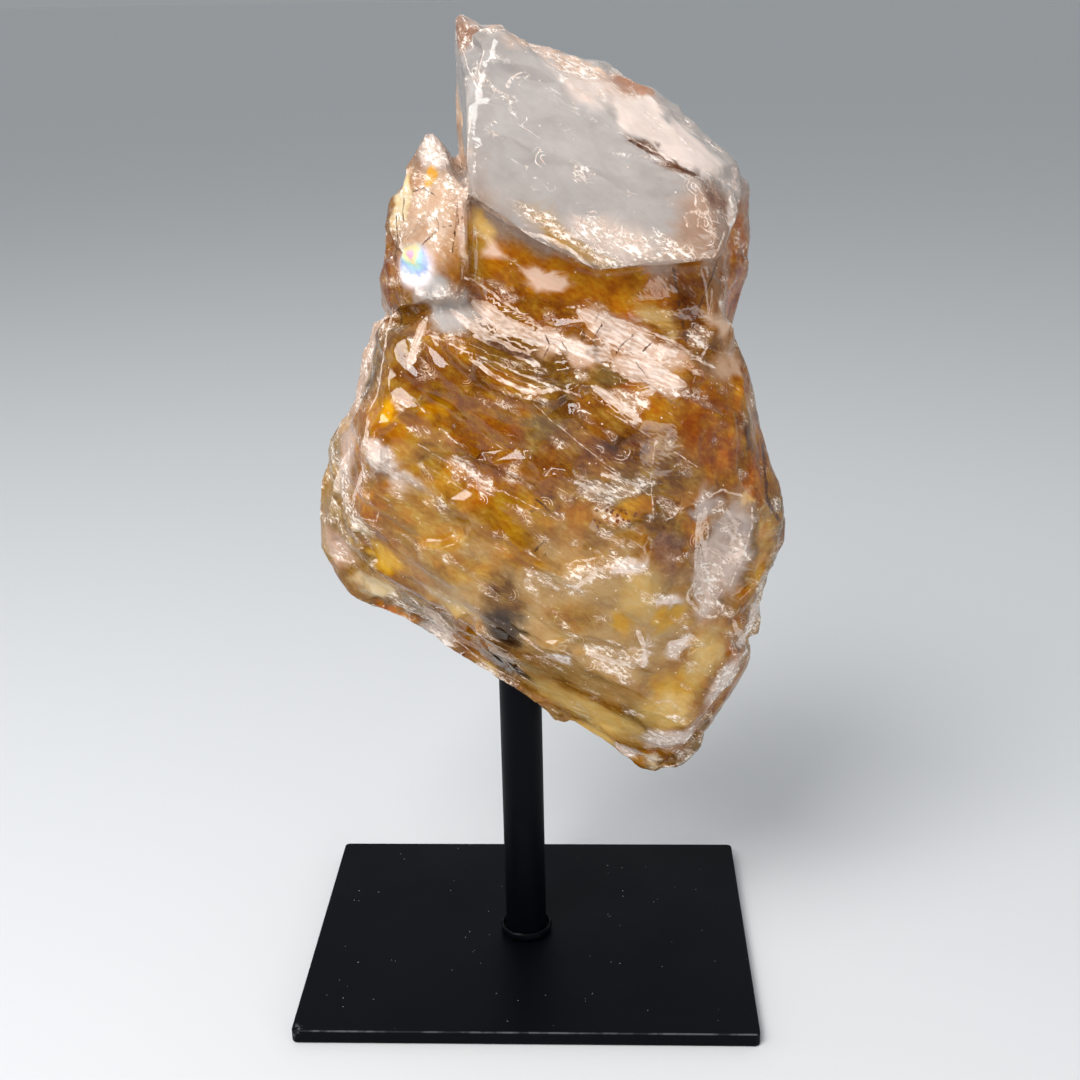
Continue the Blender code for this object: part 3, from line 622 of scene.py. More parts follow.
def feathers(tree, crush, clusters, curls):
    """Thin curled lines: where a noise is near its middle value, and only in patches."""
    off = add_node(tree, "ShaderNodeMath", {0: curls, 1: 0.5}, operation="SUBTRACT")
    away = add_node(tree, "ShaderNodeMath", {0: off}, operation="ABSOLUTE")
    line = add_node(tree, "ShaderNodeMapRange", {"Value": away, "From Min": 0.030, "From Max": 0.010})
    lifted = add_node(tree, "ShaderNodeMath", {0: crush, 1: 0.30, 2: clusters}, operation="MULTIPLY_ADD")
    shown = add_node(tree, "ShaderNodeMapRange", {
        "Value": lifted, "From Min": 0.62, "From Max": 0.74, "To Max": 0.8,
    })
    return add_node(tree, "ShaderNodeMath", {0: line, 1: shown}, operation="MULTIPLY")


def hairlines(tree, place, shade):
    """Straight lines along the cleavage that fade in and out."""
    level = along_cleavage(tree, place, (1.0, 1.0, HAIRLINE_GAP))
    height = add_node(tree, "ShaderNodeSeparateXYZ", {0: level}).outputs["Z"]
    edge = add_node(
        tree, "ShaderNodeTexVoronoi", {"W": height, "Scale": 1.0},
        voronoi_dimensions="1D", feature="DISTANCE_TO_EDGE",
    )
    line = add_node(tree, "ShaderNodeMapRange", {
        "Value": edge.outputs["Distance"], "From Min": 0.012, "From Max": 0.005, "To Max": 0.5,
    })
    shown = add_node(tree, "ShaderNodeMapRange", {"Value": shade, "From Min": 0.56, "From Max": 0.62})
    return add_node(tree, "ShaderNodeMath", {0: line, 1: shown}, operation="MULTIPLY")


def painted_glints(tree, cells, crush):
    """Painted glints: single bright points, 0.3 mm across, where a grain would mirror the light, thicker
    where the stone is crushed.
    """
    dot = add_node(tree, "ShaderNodeMapRange", {
        "Value": cells.outputs["Distance"], "From Min": 0.17, "From Max": 0.11,
    })
    own = add_node(tree, "ShaderNodeSeparateColor", {0: cells.outputs["Color"]}).outputs["Red"]
    lifted = add_node(tree, "ShaderNodeMath", {0: crush, 1: 0.35, 2: own}, operation="MULTIPLY_ADD")
    picked = add_node(tree, "ShaderNodeMath", {0: lifted, 1: 0.93}, operation="GREATER_THAN")
    return add_node(tree, "ShaderNodeMath", {0: dot, 1: picked}, operation="MULTIPLY")


print("the cleavage falls by", round(math.degrees(CLEAVAGE_FALL)), "degrees")

# %% [markdown]
# ## Shell marks
# Quartz breaks like thick glass, in shells. A small shell crack shows as a nest of bright
# crescents that open away from the point of the blow. Every point of the skin is told how far it
# is from the nearest blow, as a share of that nest's reach, and whether it is on the open side.
# Both change smoothly, so the points are dense enough for them, and the shader cuts the crisp
# crescents.

# %% The shell marks' places
# middle in mm, the way the crescents face in degrees from +x towards +z, and their reach in mm
SHELL_MARKS = [
    ((1.4, -14.6, 197.8), 75, 2.0),
    ((2.5, -17.1, 191.9), -40, 1.9),
    ((-2.0, -17.8, 190.6), 120, 1.5),
    ((7.6, -19.4, 184.9), 160, 3.1),
    ((8.4, -20.5, 181.7), -70, 3.0),
    ((15.3, -22.4, 173.5), 40, 3.0),
    ((19.4, -22.4, 172.7), -60, 2.8),
    ((22.4, -21.9, 174.8), -10, 2.2),
    ((17.5, -23.1, 169.5), 250, 2.4),
    ((35.2, -20.1, 179.5), 200, 2.6),
    ((36.2, -21.4, 173.0), 20, 2.8),
    ((37.3, -21.8, 169.8), -60, 1.7),
    ((24.6, -22.7, 170.8), -80, 2.6),
    ((-1.6, -27.3, 100.9), -20, 2.4),
    ((11.7, -26.5, 90.5), 45, 2.6),
    ((-31.9, -16.7, 111.3), 20, 2.5),
    ((6.3, -29.6, 120.5), 60, 2.1),
    ((20.8, -31.9, 132.1), -60, 2.8),
    ((30.1, -23.8, 141.6), -60, 2.3),
    ((-8.5, -26.3, 145.0), -70, 1.7),
    ((-15.5, -24.6, 146.6), -30, 1.9),
    ((13.9, -25.6, 84.7), -50, 2.5),
    ((46.6, -14.0, 88.3), 60, 1.9),
    ((-6.5, -27.6, 120.9), 30, 2.0),
    ((36.4, -22.6, 110.5), 170, 2.4),
]
MARK_RINGS = 3.6  # crescents within a nest's reach
MARK_LIMIT = 3.0  # shares beyond this are all the same


def nearest_marks(points):
    """For each point: its share of the nearest nest's reach, and how far it is on its open side."""
    share = np.full(len(points), MARK_LIMIT)
    side = np.zeros(len(points))
    for middle, facing, reach in SHELL_MARKS:
        away = points - np.array(middle)
        distance = np.linalg.norm(away, axis=1) + 1e-6
        angle = math.radians(facing)
        towards = away @ np.array([math.cos(angle), 0, math.sin(angle)]) / distance
        nearer = distance / reach < share
        share[nearer] = distance[nearer] / reach
        side[nearer] = towards[nearer]
    return share, side


def shell_marks(tree, waver):
    """The crescents: rings of the share, on the open side only."""
    share, side = (
        add_node(tree, "ShaderNodeAttribute", attribute_name=name).outputs["Fac"]
        for name in ("mark share", "mark side")
    )
    uneven = add_node(tree, "ShaderNodeMath", {0: waver, 1: 0.40, 2: share}, operation="MULTIPLY_ADD")
    turns = add_node(tree, "ShaderNodeMath", {0: uneven, 1: math.tau * MARK_RINGS}, operation="MULTIPLY")
    wave = add_node(tree, "ShaderNodeMath", {0: turns}, operation="SINE")
    ring = add_node(tree, "ShaderNodeMapRange", {"Value": wave, "From Min": 0.60, "From Max": 0.95})
    open_side = add_node(tree, "ShaderNodeMapRange", {"Value": side, "From Min": 0.25, "From Max": 0.70})
    outer = add_node(tree, "ShaderNodeMapRange", {"Value": share, "From Min": 1.0, "From Max": 0.85})
    sided = add_node(tree, "ShaderNodeMath", {0: ring, 1: open_side}, operation="MULTIPLY")
    return add_node(tree, "ShaderNodeMath", {0: sided, 1: outer}, operation="MULTIPLY")


print("shell marks:", len(SHELL_MARKS))

# %% [markdown]
# ## Bands, ridges and cracks
# Some lines belong to this one lump: the pale bands of the ledge, where the stone broke away in
# steps, the bright ridges between its planes, the rim of the glassy oval, the long healed cracks,
# and the dark ones, among them two lines of painted shadow in the steps under the ledge's bands.
# Each is a stroke, a line through a few points with a width, drawn on the front of the stone. Every
# point of the skin is told the way to its nearest stroke. That way runs through nought as it
# crosses the stroke, so even a stroke thinner than the triangles stays crisp.

# %% The strokes' places
# half width in mm, and the points (x, z) in mm that the stroke runs through
WHITE_STROKES = [
    # the ledge's bands and planes
    (1.45, ((-7.8, 157.2), (-0.6, 153.3), (7.5, 150.3))),
    (0.69, ((-12.1, 156.0), (-6.8, 153.1), (-1.5, 150.4), (5.6, 146.8))),
    (0.42, ((-7.5, 149.1), (-3.8, 146.2), (0.2, 144.1), (4.6, 142.9), (8.9, 143.4))),
    (0.19, ((-16.2, 152.6), (-7.5, 150.2), (1.9, 145.7), (13.6, 142.1))),
    (1.84, ((12.9, 155.7), (20.2, 151.6), (28.6, 147.2))),
    (1.25, ((4.8, 152.5), (11.9, 150.1), (19.4, 147.7))),
    (1.63, ((19.4, 147.3), (26.7, 144.9), (33.2, 142.3))),
    (0.75, ((15.5, 143.8), (20.4, 140.5), (24.9, 137.3))),
    (0.86, ((24.6, 142.0), (27.6, 142.4))),
    (0.97, ((28.5, 149.2), (31.7, 147.3))),
    (0.23, ((-8.8, 162.9), (-2.3, 157.7), (6.1, 152.7))),
    (0.23, ((19.6, 154.1), (26.2, 151.7), (33.2, 148.3), (39.8, 143.7))),
    (0.23, ((36.0, 150.6), (38.2, 148.3), (37.0, 146.5), (34.4, 146.6))),
    (0.89, ((-16.8, 154.5), (-18.0, 151.3), (-19.9, 146.3))),
    # the block's edges
    (0.17, ((-6.6, 194.5), (-7.3, 186.8), (-8.0, 178.8))),
    (0.38, (
        (-8.0, 178.4), (-4.6, 175.1), (-0.2, 172.3), (6.0, 171.2), (11.8, 168.6), (17.5, 163.4),
    )),
    (0.21, ((20.8, 189.3), (27.1, 185.7), (36.2, 182.1), (42.8, 177.8))),
    (0.25, ((43.8, 180.9), (42.6, 173.4), (38.1, 166.4))),
    (0.15, ((32.2, 180.7), (35.0, 179.8), (37.3, 176.4))),
    (0.15, ((32.2, 180.6), (33.9, 177.7), (37.3, 176.4))),
    (0.13, ((32.2, 174.7), (36.5, 175.3), (41.5, 173.1))),
    (0.13, ((32.0, 173.7), (36.1, 174.1), (40.6, 171.9))),
    (0.15, ((32.4, 172.4), (35.8, 172.3), (38.8, 170.4))),
    (0.15, ((-8.6, 203.7), (-7.0, 199.9), (-4.2, 195.2))),
    (0.15, ((-4.1, 203.9), (-5.3, 200.0), (-4.2, 195.2))),
    (0.15, ((-0.6, 197.5), (1.4, 199.4), (4.0, 200.2), (4.6, 199.3), (2.3, 197.8), (-0.1, 196.8))),
    (0.13, ((2.8, 181.3), (3.6, 184.9), (5.8, 187.0), (9.3, 188.1))),
    (0.13, ((4.3, 180.7), (7.2, 180.0), (9.5, 181.7), (10.2, 183.8))),
    (0.13, ((3.9, 181.8), (6.9, 181.0), (8.9, 182.6))),
    # the left bevel
    (0.20, ((-24.3, 155.2), (-24.9, 149.5), (-26.5, 140.2), (-28.0, 137.5))),
    (0.47, ((-28.0, 137.2), (-28.5, 132.7), (-27.7, 130.5))),
    (0.78, ((-27.3, 130.5), (-25.2, 127.4), (-22.8, 124.2))),
    (0.62, ((-34.0, 126.7), (-37.0, 121.0), (-39.0, 116.1), (-34.2, 116.8))),
    (0.44, ((-33.6, 116.9), (-31.4, 121.7), (-30.0, 125.5))),
    (0.18, ((-32.7, 112.7), (-28.5, 111.3))),
    (0.18, ((-32.8, 111.7), (-29.2, 109.8))),
    (0.18, ((-32.8, 115.5), (-28.2, 114.3), (-27.2, 117.1))),
    # the body
    (0.13, ((4.3, 140.7), (10.7, 135.1), (18.9, 128.5), (28.0, 121.5))),
    (0.13, ((18.3, 139.5), (27.8, 133.6), (36.3, 126.8))),
    (0.12, ((-18.5, 132.1), (-13.7, 128.2), (-9.1, 125.7), (5.3, 119.4))),
    (0.15, ((27.4, 133.0), (26.7, 126.4), (27.2, 116.6))),
    (0.38, ((12.7, 124.9), (15.8, 123.0), (19.2, 124.6))),
    (0.38, ((16.9, 127.0), (20.4, 126.3), (24.6, 124.7))),
    (0.59, ((9.3, 101.2), (13.7, 104.8), (17.4, 107.8))),
    (0.49, ((17.4, 107.8), (22.9, 106.2), (26.3, 107.0))),
    (0.69, ((13.9, 87.5), (18.4, 85.6), (22.9, 84.4))),
    (0.53, ((24.2, 92.9), (26.1, 87.7), (25.1, 83.9))),
    (0.54, ((30.3, 87.6), (35.8, 88.0))),
    (0.40, ((27.0, 99.7), (32.3, 97.7))),
    (0.49, ((6.2, 85.1), (9.6, 85.2))),
    (0.33, ((0.5, 91.1), (6.3, 85.5))),
    (0.16, ((-11.0, 127.6), (-6.5, 123.4), (-1.0, 122.5))),
    # the oval's rim and what is in it
    (0.40, ((36.4, 117.0), (36.2, 111.7), (36.2, 106.2), (36.2, 100.7), (34.2, 98.4))),
    (0.31, ((34.2, 98.4), (37.5, 93.4), (40.5, 91.9), (42.4, 94.4))),
    (0.20, ((43.7, 97.7), (46.4, 106.0), (47.7, 110.8), (47.4, 116.4))),
    (0.24, ((45.4, 118.6), (40.7, 121.2), (37.8, 120.2))),
    (0.62, ((36.6, 103.6), (38.4, 98.3), (39.4, 94.9))),
    (0.53, ((38.4, 107.1), (42.7, 104.3), (46.7, 106.0))),
    (0.48, ((37.7, 118.0), (37.0, 111.8), (38.8, 103.5))),
    (0.36, ((41.9, 116.9), (44.7, 110.9), (43.4, 106.6))),
    (0.20, ((37.3, 118.6), (38.4, 112.5), (38.4, 107.1))),
    (0.16, ((40.0, 114.5), (42.9, 110.3), (45.5, 112.7))),
    # the low edge and the tip
    (1.07, ((-20.1, 93.2), (-17.7, 88.6), (-15.5, 82.4))),
    (0.26, ((-15.5, 82.4), (-8.3, 75.4), (-0.9, 71.3))),
    (1.12, ((20.2, 56.6), (23.8, 53.7))),
    (0.67, ((20.3, 54.8), (23.3, 52.7))),
    (0.73, ((44.5, 90.1), (48.4, 80.8))),
]
DARK_STROKES = [
    (0.25, ((31.2, 163.5), (32.5, 156.1), (33.9, 149.0))),
    (0.17, ((-17.1, 168.3), (-15.0, 170.6), (-13.5, 171.3), (-13.9, 173.8))),
    (0.15, ((-13.1, 172.0), (-10.1, 172.5), (-8.9, 174.2))),
    (0.15, ((-9.7, 176.7), (-10.3, 171.3), (-11.0, 166.5))),
    (0.16, ((-21.1, 176.7), (-21.1, 172.2))),
    (0.16, ((-22.8, 173.4), (-22.4, 168.7), (-23.2, 164.3))),
    (0.15, ((-19.4, 177.6), (-16.8, 178.6), (-14.2, 177.5))),
    (0.18, ((40.0, 164.0), (36.6, 156.0), (34.1, 149.4))),
    (0.26, ((22.1, 188.0), (28.4, 184.4), (35.1, 181.1))),
    # painted shadow: this stroke and the next are the shade in the steps under the ledge's pale bands
    (0.42, ((-4.6, 151.7), (-0.5, 149.4), (4.5, 147.8))),
    (0.19, ((6.5, 152.4), (7.5, 150.1), (6.4, 148.0))),
    (0.15, ((17.5, 153.5), (16.3, 151.8))),
    (0.17, ((23.7, 151.2), (20.9, 149.3), (20.1, 148.1))),
    (0.19, ((27.2, 149.6), (25.2, 148.1))),
    (0.15, ((9.4, 151.5), (11.0, 149.2))),
    (0.15, ((24.0, 146.6), (26.3, 143.7))),
    (0.33, ((50.1, 127.0), (50.9, 115.9), (54.3, 109.4))),
    (0.16, ((3.3, 119.3), (4.9, 118.1))),
    (0.19, ((4.1, 121.7), (7.6, 119.0))),
    (0.20, ((6.7, 113.0), (4.0, 110.9))),
    (0.25, ((26.1, 134.3), (25.1, 131.5), (21.1, 129.3))),
    (0.18, ((-26.7, 151.9), (-28.2, 145.2), (-29.2, 138.7))),
    (0.20, ((-23.7, 157.0), (-21.8, 152.5))),
]
FRONT_DEPTH = 4.0  # strokes lie on what is in front of this y, in mm
STROKE_REACH = 1.0  # and aren't looked for farther than this from their edge
NO_STROKE = (9.0, 9.0, -1.0)  # the way and half width where there is none: far off, no width
STROKE_TAPER = 2.0  # how long a stroke's ends taper, in half widths
STROKE_TIP = 0.25  # what is left of its width at the tip
STROKE_EDGE = 0.06  # half the width of its soft edge, in mm
SWAY_ASIDE = 0.9  # how far it sways, in mm
SWAY_UP = 0.7
RIPPLES_PER_MM = (1 / 3.5, 1 / 0.5, 0)  # along and across


def nearest_strokes(points, strokes):
    """For each point: the way to its nearest stroke, with the half width, and how far along."""
    flat = points[:, [0, 2]]
    beyond = np.where(points[:, 1] < FRONT_DEPTH, STROKE_REACH, 0.0)
    way = np.tile(NO_STROKE, (len(points), 1))
    run = np.zeros(len(points))
    for half_width, line in strokes:
        total = sum(math.dist(start, end) for start, end in zip(line[:-1], line[1:]))
        done = 0.0
        for start, end in zip(np.array(line[:-1]), np.array(line[1:])):
            length = np.linalg.norm(end - start)
            share = np.clip((flat - start) @ (end - start) / length ** 2, 0, 1)
            gap = flat - start - share[:, None] * (end - start)
            along = done + share * length
            from_tip = np.minimum(along, total - along) / (STROKE_TAPER * half_width)
            width = half_width * np.clip(STROKE_TIP + from_tip, 0, 1)
            distance = np.linalg.norm(gap, axis=1) - width
            nearer = (distance < beyond) & (points[:, 1] < FRONT_DEPTH)
            beyond[nearer] = distance[nearer]
            way[nearer, :2] = gap[nearer]
            way[nearer, 2] = width[nearer]
            run[nearer] = along[nearer]
            done += length
    return way, run


def stroke(tree, name, waver, sway, fade):
    """1 on the stroke and 0 off it, swaying, ragged and faded in places; and how far across."""
    way = add_node(tree, "ShaderNodeAttribute", attribute_name=name).outputs["Vector"]
    parts = add_node(tree, "ShaderNodeSeparateXYZ", {0: way})
    aside, lifted = (
        add_node(tree, "ShaderNodeMath", {0: by, 1: reach, 2: parts.outputs[axis]}, operation="MULTIPLY_ADD")
        for by, reach, axis in ((waver, SWAY_ASIDE, "X"), (sway, SWAY_UP, "Y"))
    )
    swayed = add_node(tree, "ShaderNodeCombineXYZ", {"X": aside, "Y": lifted})
    flat = add_node(
        tree, "ShaderNodeVectorMath", {0: swayed, 1: (SWAY_ASIDE / 2, SWAY_UP / 2, 0)},
        operation="SUBTRACT",
    )
    across = add_node(tree, "ShaderNodeVectorMath", {0: flat}, operation="LENGTH").outputs["Value"]
    ragged = add_node(tree, "ShaderNodeMapRange", {
        "Value": waver, "From Min": 0.35, "From Max": 0.65, "To Min": 1.25, "To Max": 0.65,
    })
    edge = add_node(tree, "ShaderNodeMath", {0: parts.outputs["Z"], 1: ragged}, operation="MULTIPLY")
    inside = add_node(tree, "ShaderNodeMath", {0: edge, 1: across}, operation="SUBTRACT")
    sharp = add_node(tree, "ShaderNodeMapRange", {
        "Value": inside, "From Min": -STROKE_EDGE, "From Max": STROKE_EDGE,
    })
    # a broad band is denser than a fine line
    least = add_node(tree, "ShaderNodeMapRange", {
        "Value": parts.outputs["Z"], "From Min": 0.25, "From Max": 0.85, "To Min": 0.35,
        "To Max": 0.95,
    })
    kept = add_node(tree, "ShaderNodeMapRange", {
        "Value": fade, "From Min": 0.36, "From Max": 0.56, "To Min": least,
    })
    return add_node(tree, "ShaderNodeMath", {0: sharp, 1: kept}, operation="MULTIPLY"), across


def hatch(tree, across):
    """The fine ripples along a stroke."""
    run = add_node(tree, "ShaderNodeAttribute", attribute_name="white run").outputs["Fac"]
    along = add_node(tree, "ShaderNodeCombineXYZ", {"X": run, "Y": across})
    scaled = add_node(tree, "ShaderNodeVectorMath", {0: along, 1: RIPPLES_PER_MM}, operation="MULTIPLY")
    ripples = add_node(
        tree, "ShaderNodeTexNoise", {"Vector": scaled, "Scale": 1.0, "Detail": 2.0},
        noise_dimensions="2D",
    )
    return add_node(tree, "ShaderNodeMapRange", {
        "Value": ripples, "From Min": 0.32, "From Max": 0.62, "To Min": 0.35, "To Max": 0.56,
    })


print("white and dark strokes:", len(WHITE_STROKES), len(DARK_STROKES))

# %% The rainbow and the rust dots
RAINBOW_MIDDLE = (-19.4, -14.0, 166.2)
RAINBOW = ("#EFA9C0", "#F8E29A", "#B2E0DA", "#A6B8EC", "#FBF0F4")

PATTERN_EDGE = 0.55  # the width of the edge of these places, as a share of their size
# name of the attribute: middle and half sizes in mm, slope of the lie in degrees
PATTERN_PLACES = {
    "rainbow": ((-18.6, -14, 164.2), (4.6, 6, 3.9), -20),
    "rust dots": ((20, -28, 118), (5.5, 8, 3.4), -20),
}


def rainbow_colour(tree, place, waver):
    """Bands of colour at growing, uneven distance from the crack's thinnest place."""
    reach = add_node(
        tree, "ShaderNodeVectorMath", {0: place, 1: RAINBOW_MIDDLE}, operation="DISTANCE"
    ).outputs["Value"]
    uneven = add_node(tree, "ShaderNodeMath", {0: waver, 1: 5.0, 2: reach}, operation="MULTIPLY_ADD")
    share = add_node(tree, "ShaderNodeMapRange", {"Value": uneven, "From Min": 2.9, "From Max": 7.4})
    bands = add_node(tree, "ShaderNodeValToRGB", {0: share})
    ramp = bands.color_ramp
    while len(ramp.elements) < len(RAINBOW):
        ramp.elements.new(0.5)
    for i, colour in enumerate(RAINBOW):
        ramp.elements[i].position = i / (len(RAINBOW) - 1)
        ramp.elements[i].color = linear(colour)
    return bands


print("colours in the rainbow:", len(RAINBOW))


# %% [markdown]
# ## The quartz material
# Quartz has an IOR of 1.544. Principled transmission gives the clear stone, and the share that
# isn't transmitted scatters light in the stain's own colour, as milky quartz does. Over that go
# the white patterns, which don't let light through and are rough. A weak absorption inside gives
# deep places more colour than thin edges. The colour is one chain of Mix nodes, each laying the next
# thing over what is there, so what lies on top comes last.

# %% Quartz material
QUARTZ_IOR = 1.544
QUARTZ_MIRROR = 0.30  # broken all over, it mirrors less than polished quartz, which has 0.5
CRUSH_SHADE = "#BE9C86"  # the white patterns, in their shade and in the light
CRUSH_LIT = "#FFF6EE"
HAZE = "#E2CBB4"
# the colour of the dark strokes: cracks, and painted shadow in the ledge's steps
CRACK_AND_STEP_SHADOW = "#5A3620"
RUST_DOT = "#7A3E10"
INSIDE = "#F6E3C0"  # what is left of white light inside, at this density per metre
INSIDE_DENSITY = 7.0
GLINT_GAP = 1.25  # mm between glints, and between rust dots
# sizes in mm along, into and across the cleavage, and the noise's other inputs
GRAINS = ((1.5, 1.2, 0.65), {"Detail": 2.0, "Roughness": 0.6})
CURLS = ((2.6, 2.2, 1.5), {"Detail": 1.5, "Distortion": 1.2})
MOTTLE = ((4.0, 3.2, 2.6), {"Detail": 4.0, "Roughness": 0.62})
FINE_HACKLE = ((1.2, 0.9, 0.5), {"Detail": 0.0})
FINE_HACKLE_DEPTH = 0.20 * MM


def quartz_material():
    """Broken, unpolished quartz: glassy with sharp glints, white where it is crushed."""
    material, tree, shader = new_material("broken_quartz")
    place = place_in_mm(tree)
    painted_tint = add_node(tree, "ShaderNodeAttribute", attribute_name="tint")
    tint, uneven = painted_tint.outputs["Color"], painted_tint.outputs["Alpha"]
    milk, crush, clusters, rainbow_place, dot_place = (
        add_node(tree, "ShaderNodeAttribute", attribute_name=name).outputs["Fac"]
        for name in ("milk", "crush", "clusters", "rainbow", "rust dots")
    )
    grains, curls, mottle, hackle = (
        add_node(tree, "ShaderNodeTexNoise", {
            "Vector": along_cleavage(tree, place, sizes), "Scale": 1.0, **more,
        }).outputs["Fac"]
        for sizes, more in (GRAINS, CURLS, MOTTLE, FINE_HACKLE)
    )

    # light and dark inside the stone. A thick film is darker and deeper in colour than a thin one,
    # which is what a power of the colour gives.
    streaked = add_node(tree, "ShaderNodeMath", {0: grains, 1: 0.6, 2: mottle}, operation="MULTIPLY_ADD")
    film = add_node(tree, "ShaderNodeMapRange", {
        "Value": streaked, "From Min": 0.58, "From Max": 1.02, "To Min": 0.50, "To Max": -0.30,
    })
    power = add_node(tree, "ShaderNodeMath", {0: film, 1: uneven, 2: 1.0}, operation="MULTIPLY_ADD")
    body = add_node(tree, "ShaderNodeGamma", {"Color": tint, "Gamma": power})

    # the white patterns
    strength, white = lace(tree, crush, clusters, grains, curls)
    cells = add_node(tree, "ShaderNodeTexVoronoi", {"Vector": place, "Scale": 1 / GLINT_GAP})
    bands, across = stroke(tree, "white stroke", mottle, curls, grains)
    for pattern in (
        feathers(tree, crush, clusters, curls), hairlines(tree, place, mottle),
        painted_glints(tree, cells, crush), shell_marks(tree, mottle), bands,
    ):
        white = add_node(tree, "ShaderNodeMath", {0: white, 1: pattern}, operation="MAXIMUM")
    hatched = add_node(tree, "ShaderNodeMath", {0: bands, 1: 0.72}, operation="MULTIPLY")
    ripples = add_node(
        tree, "ShaderNodeMix", {"Factor": hatched, "A": grains, "B": hatch(tree, across)},
        data_type="FLOAT",
    ).outputs["Result"]
    lit = add_node(tree, "ShaderNodeMapRange", {"Value": ripples, "From Min": 0.38, "From Max": 0.62})
    haze = add_node(tree, "ShaderNodeMath", {0: strength, 1: 0.42}, operation="MULTIPLY")

    # one layer over the other: the haze, the white patterns with the painted glints among them, which
    # take on a little of the tint, the dark cracks with the painted shadow lines in the ledge's steps,
    # the rust dots and the rainbow
    white_colour = linear(CRUSH_SHADE)
    for share, layer in ((lit, linear(CRUSH_LIT)), (0.25, tint)):
        white_colour = add_node(
            tree, "ShaderNodeMix", {"Factor": share, "A": white_colour, "B": layer}, data_type="RGBA"
        ).outputs["Result"]
    cracks_and_step_shadows = stroke(tree, "dark stroke", mottle, curls, grains)[0]
    dot = add_node(tree, "ShaderNodeMapRange", {
        "Value": cells.outputs["Distance"], "From Min": 0.36, "From Max": 0.24,
    })
    dots = add_node(tree, "ShaderNodeMath", {0: dot, 1: dot_place}, operation="MULTIPLY")
    colour = body.outputs[0]
    for share, layer in (
        (haze, linear(HAZE)), (white, white_colour), (cracks_and_step_shadows, linear(CRACK_AND_STEP_SHADOW)),
        (dots, linear(RUST_DOT)), (rainbow_place, rainbow_colour(tree, place, mottle)),
    ):
        colour = add_node(
            tree, "ShaderNodeMix", {"Factor": share, "A": colour, "B": layer}, data_type="RGBA"
        ).outputs["Result"]
    tree.links.new(colour, shader.inputs["Base Color"])

    # what is neither milky nor covered is clear
    clear = 1.0
    for cover in (milk, white, rainbow_place):
        left = add_node(tree, "ShaderNodeMath", {0: 1.0, 1: cover}, operation="SUBTRACT")
        clear = add_node(tree, "ShaderNodeMath", {0: clear, 1: left}, operation="MULTIPLY")
    tree.links.new(clear.outputs[0], shader.inputs["Transmission Weight"])
    gloss = add_node(tree, "ShaderNodeMapRange", {"Value": white, "To Min": 0.06, "To Max": 0.42})
    tree.links.new(gloss.outputs[0], shader.inputs["Roughness"])
    shader.inputs["IOR"].default_value = QUARTZ_IOR
    shader.inputs["Specular IOR Level"].default_value = QUARTZ_MIRROR

    # hackle too fine for the mesh
    rough_share = add_node(tree, "ShaderNodeMapRange", {
        "Value": crush, "From Min": 0.05, "From Max": 0.40, "To Min": 0.06, "To Max": 0.45,
    })
    bump = add_node(tree, "ShaderNodeBump", {
        "Height": hackle, "Strength": rough_share, "Distance": FINE_HACKLE_DEPTH,
    })
    tree.links.new(bump.outputs[0], shader.inputs["Normal"])
    inside = add_node(tree, "ShaderNodeVolumeAbsorption", {
        "Color": linear(INSIDE), "Density": INSIDE_DENSITY,
    })
    tree.links.new(inside.outputs[0], tree.nodes["Material Output"].inputs["Volume"])
    return material


print("IOR of quartz:", QUARTZ_IOR)

# %% Making the stone
EDGE_CRUSH_ANGLE = math.radians(30)
RIDGE_CRUSH = 0.35  # how much crush the sharpest ridges add
CLUSTER_SIZES = (6.0, 5.0, 2.8)  # mm along, into and across the cleavage
SHARP_ANGLE = math.radians(28)  # faces that meet at more than this look like facets
SPLIT_LEVELS = 2


def edge_crush(mesh):
    """How sharp the skin's outward ridges are at each point: sharp edges of quartz are crushed."""
    bm = bmesh.new()
    bm.from_mesh(mesh)
    sharp = np.zeros(len(bm.verts))
    for edge in bm.edges:
        angle = edge.calc_face_angle_signed(0.0)
        if angle > EDGE_CRUSH_ANGLE:
            for vertex in edge.verts:
                sharp[vertex.index] = max(sharp[vertex.index], angle)
    bm.free()
    return np.clip((sharp - EDGE_CRUSH_ANGLE) / EDGE_CRUSH_ANGLE, 0, 1)


def clusters(points):
    """Where the lace gathers: a noise round 0.5, in lumps of 5 mm along the cleavage."""
    along = turned(points, math.degrees(CLEAVAGE_FALL)) / np.array(CLUSTER_SIZES)
    return [0.5 + 0.42 * noise.noise(Vector(p)) + 0.2 * noise.noise(Vector(p) * 2) for p in along]


def paint(mesh):
    """Writes the stains and the places of the patterns on every point of the mesh."""
    points = points_in_mm(mesh)
    tint, milk, crush, uneven = painted(points)
    crush += RIDGE_CRUSH * edge_crush(mesh)
    tint[:, 3] = uneven
    write_attribute(mesh, "tint", tint, "FLOAT_COLOR")
    share, side = nearest_marks(points)
    way, run = nearest_strokes(points, WHITE_STROKES)
    for name, values in {
        "milk": milk, "crush": crush, "clusters": clusters(points), "mark share": share,
        "mark side": side, "white run": run,
    }.items():
        write_attribute(mesh, name, values)
    write_attribute(mesh, "white stroke", way, "FLOAT_VECTOR")
    write_attribute(mesh, "dark stroke", nearest_strokes(points, DARK_STROKES)[0], "FLOAT_VECTOR")
    for name, (middle, half_sizes, lie) in PATTERN_PLACES.items():
        write_attribute(mesh, name, nearness(points, middle, half_sizes, lie, PATTERN_EDGE))
    return milk.mean(), crush.mean()


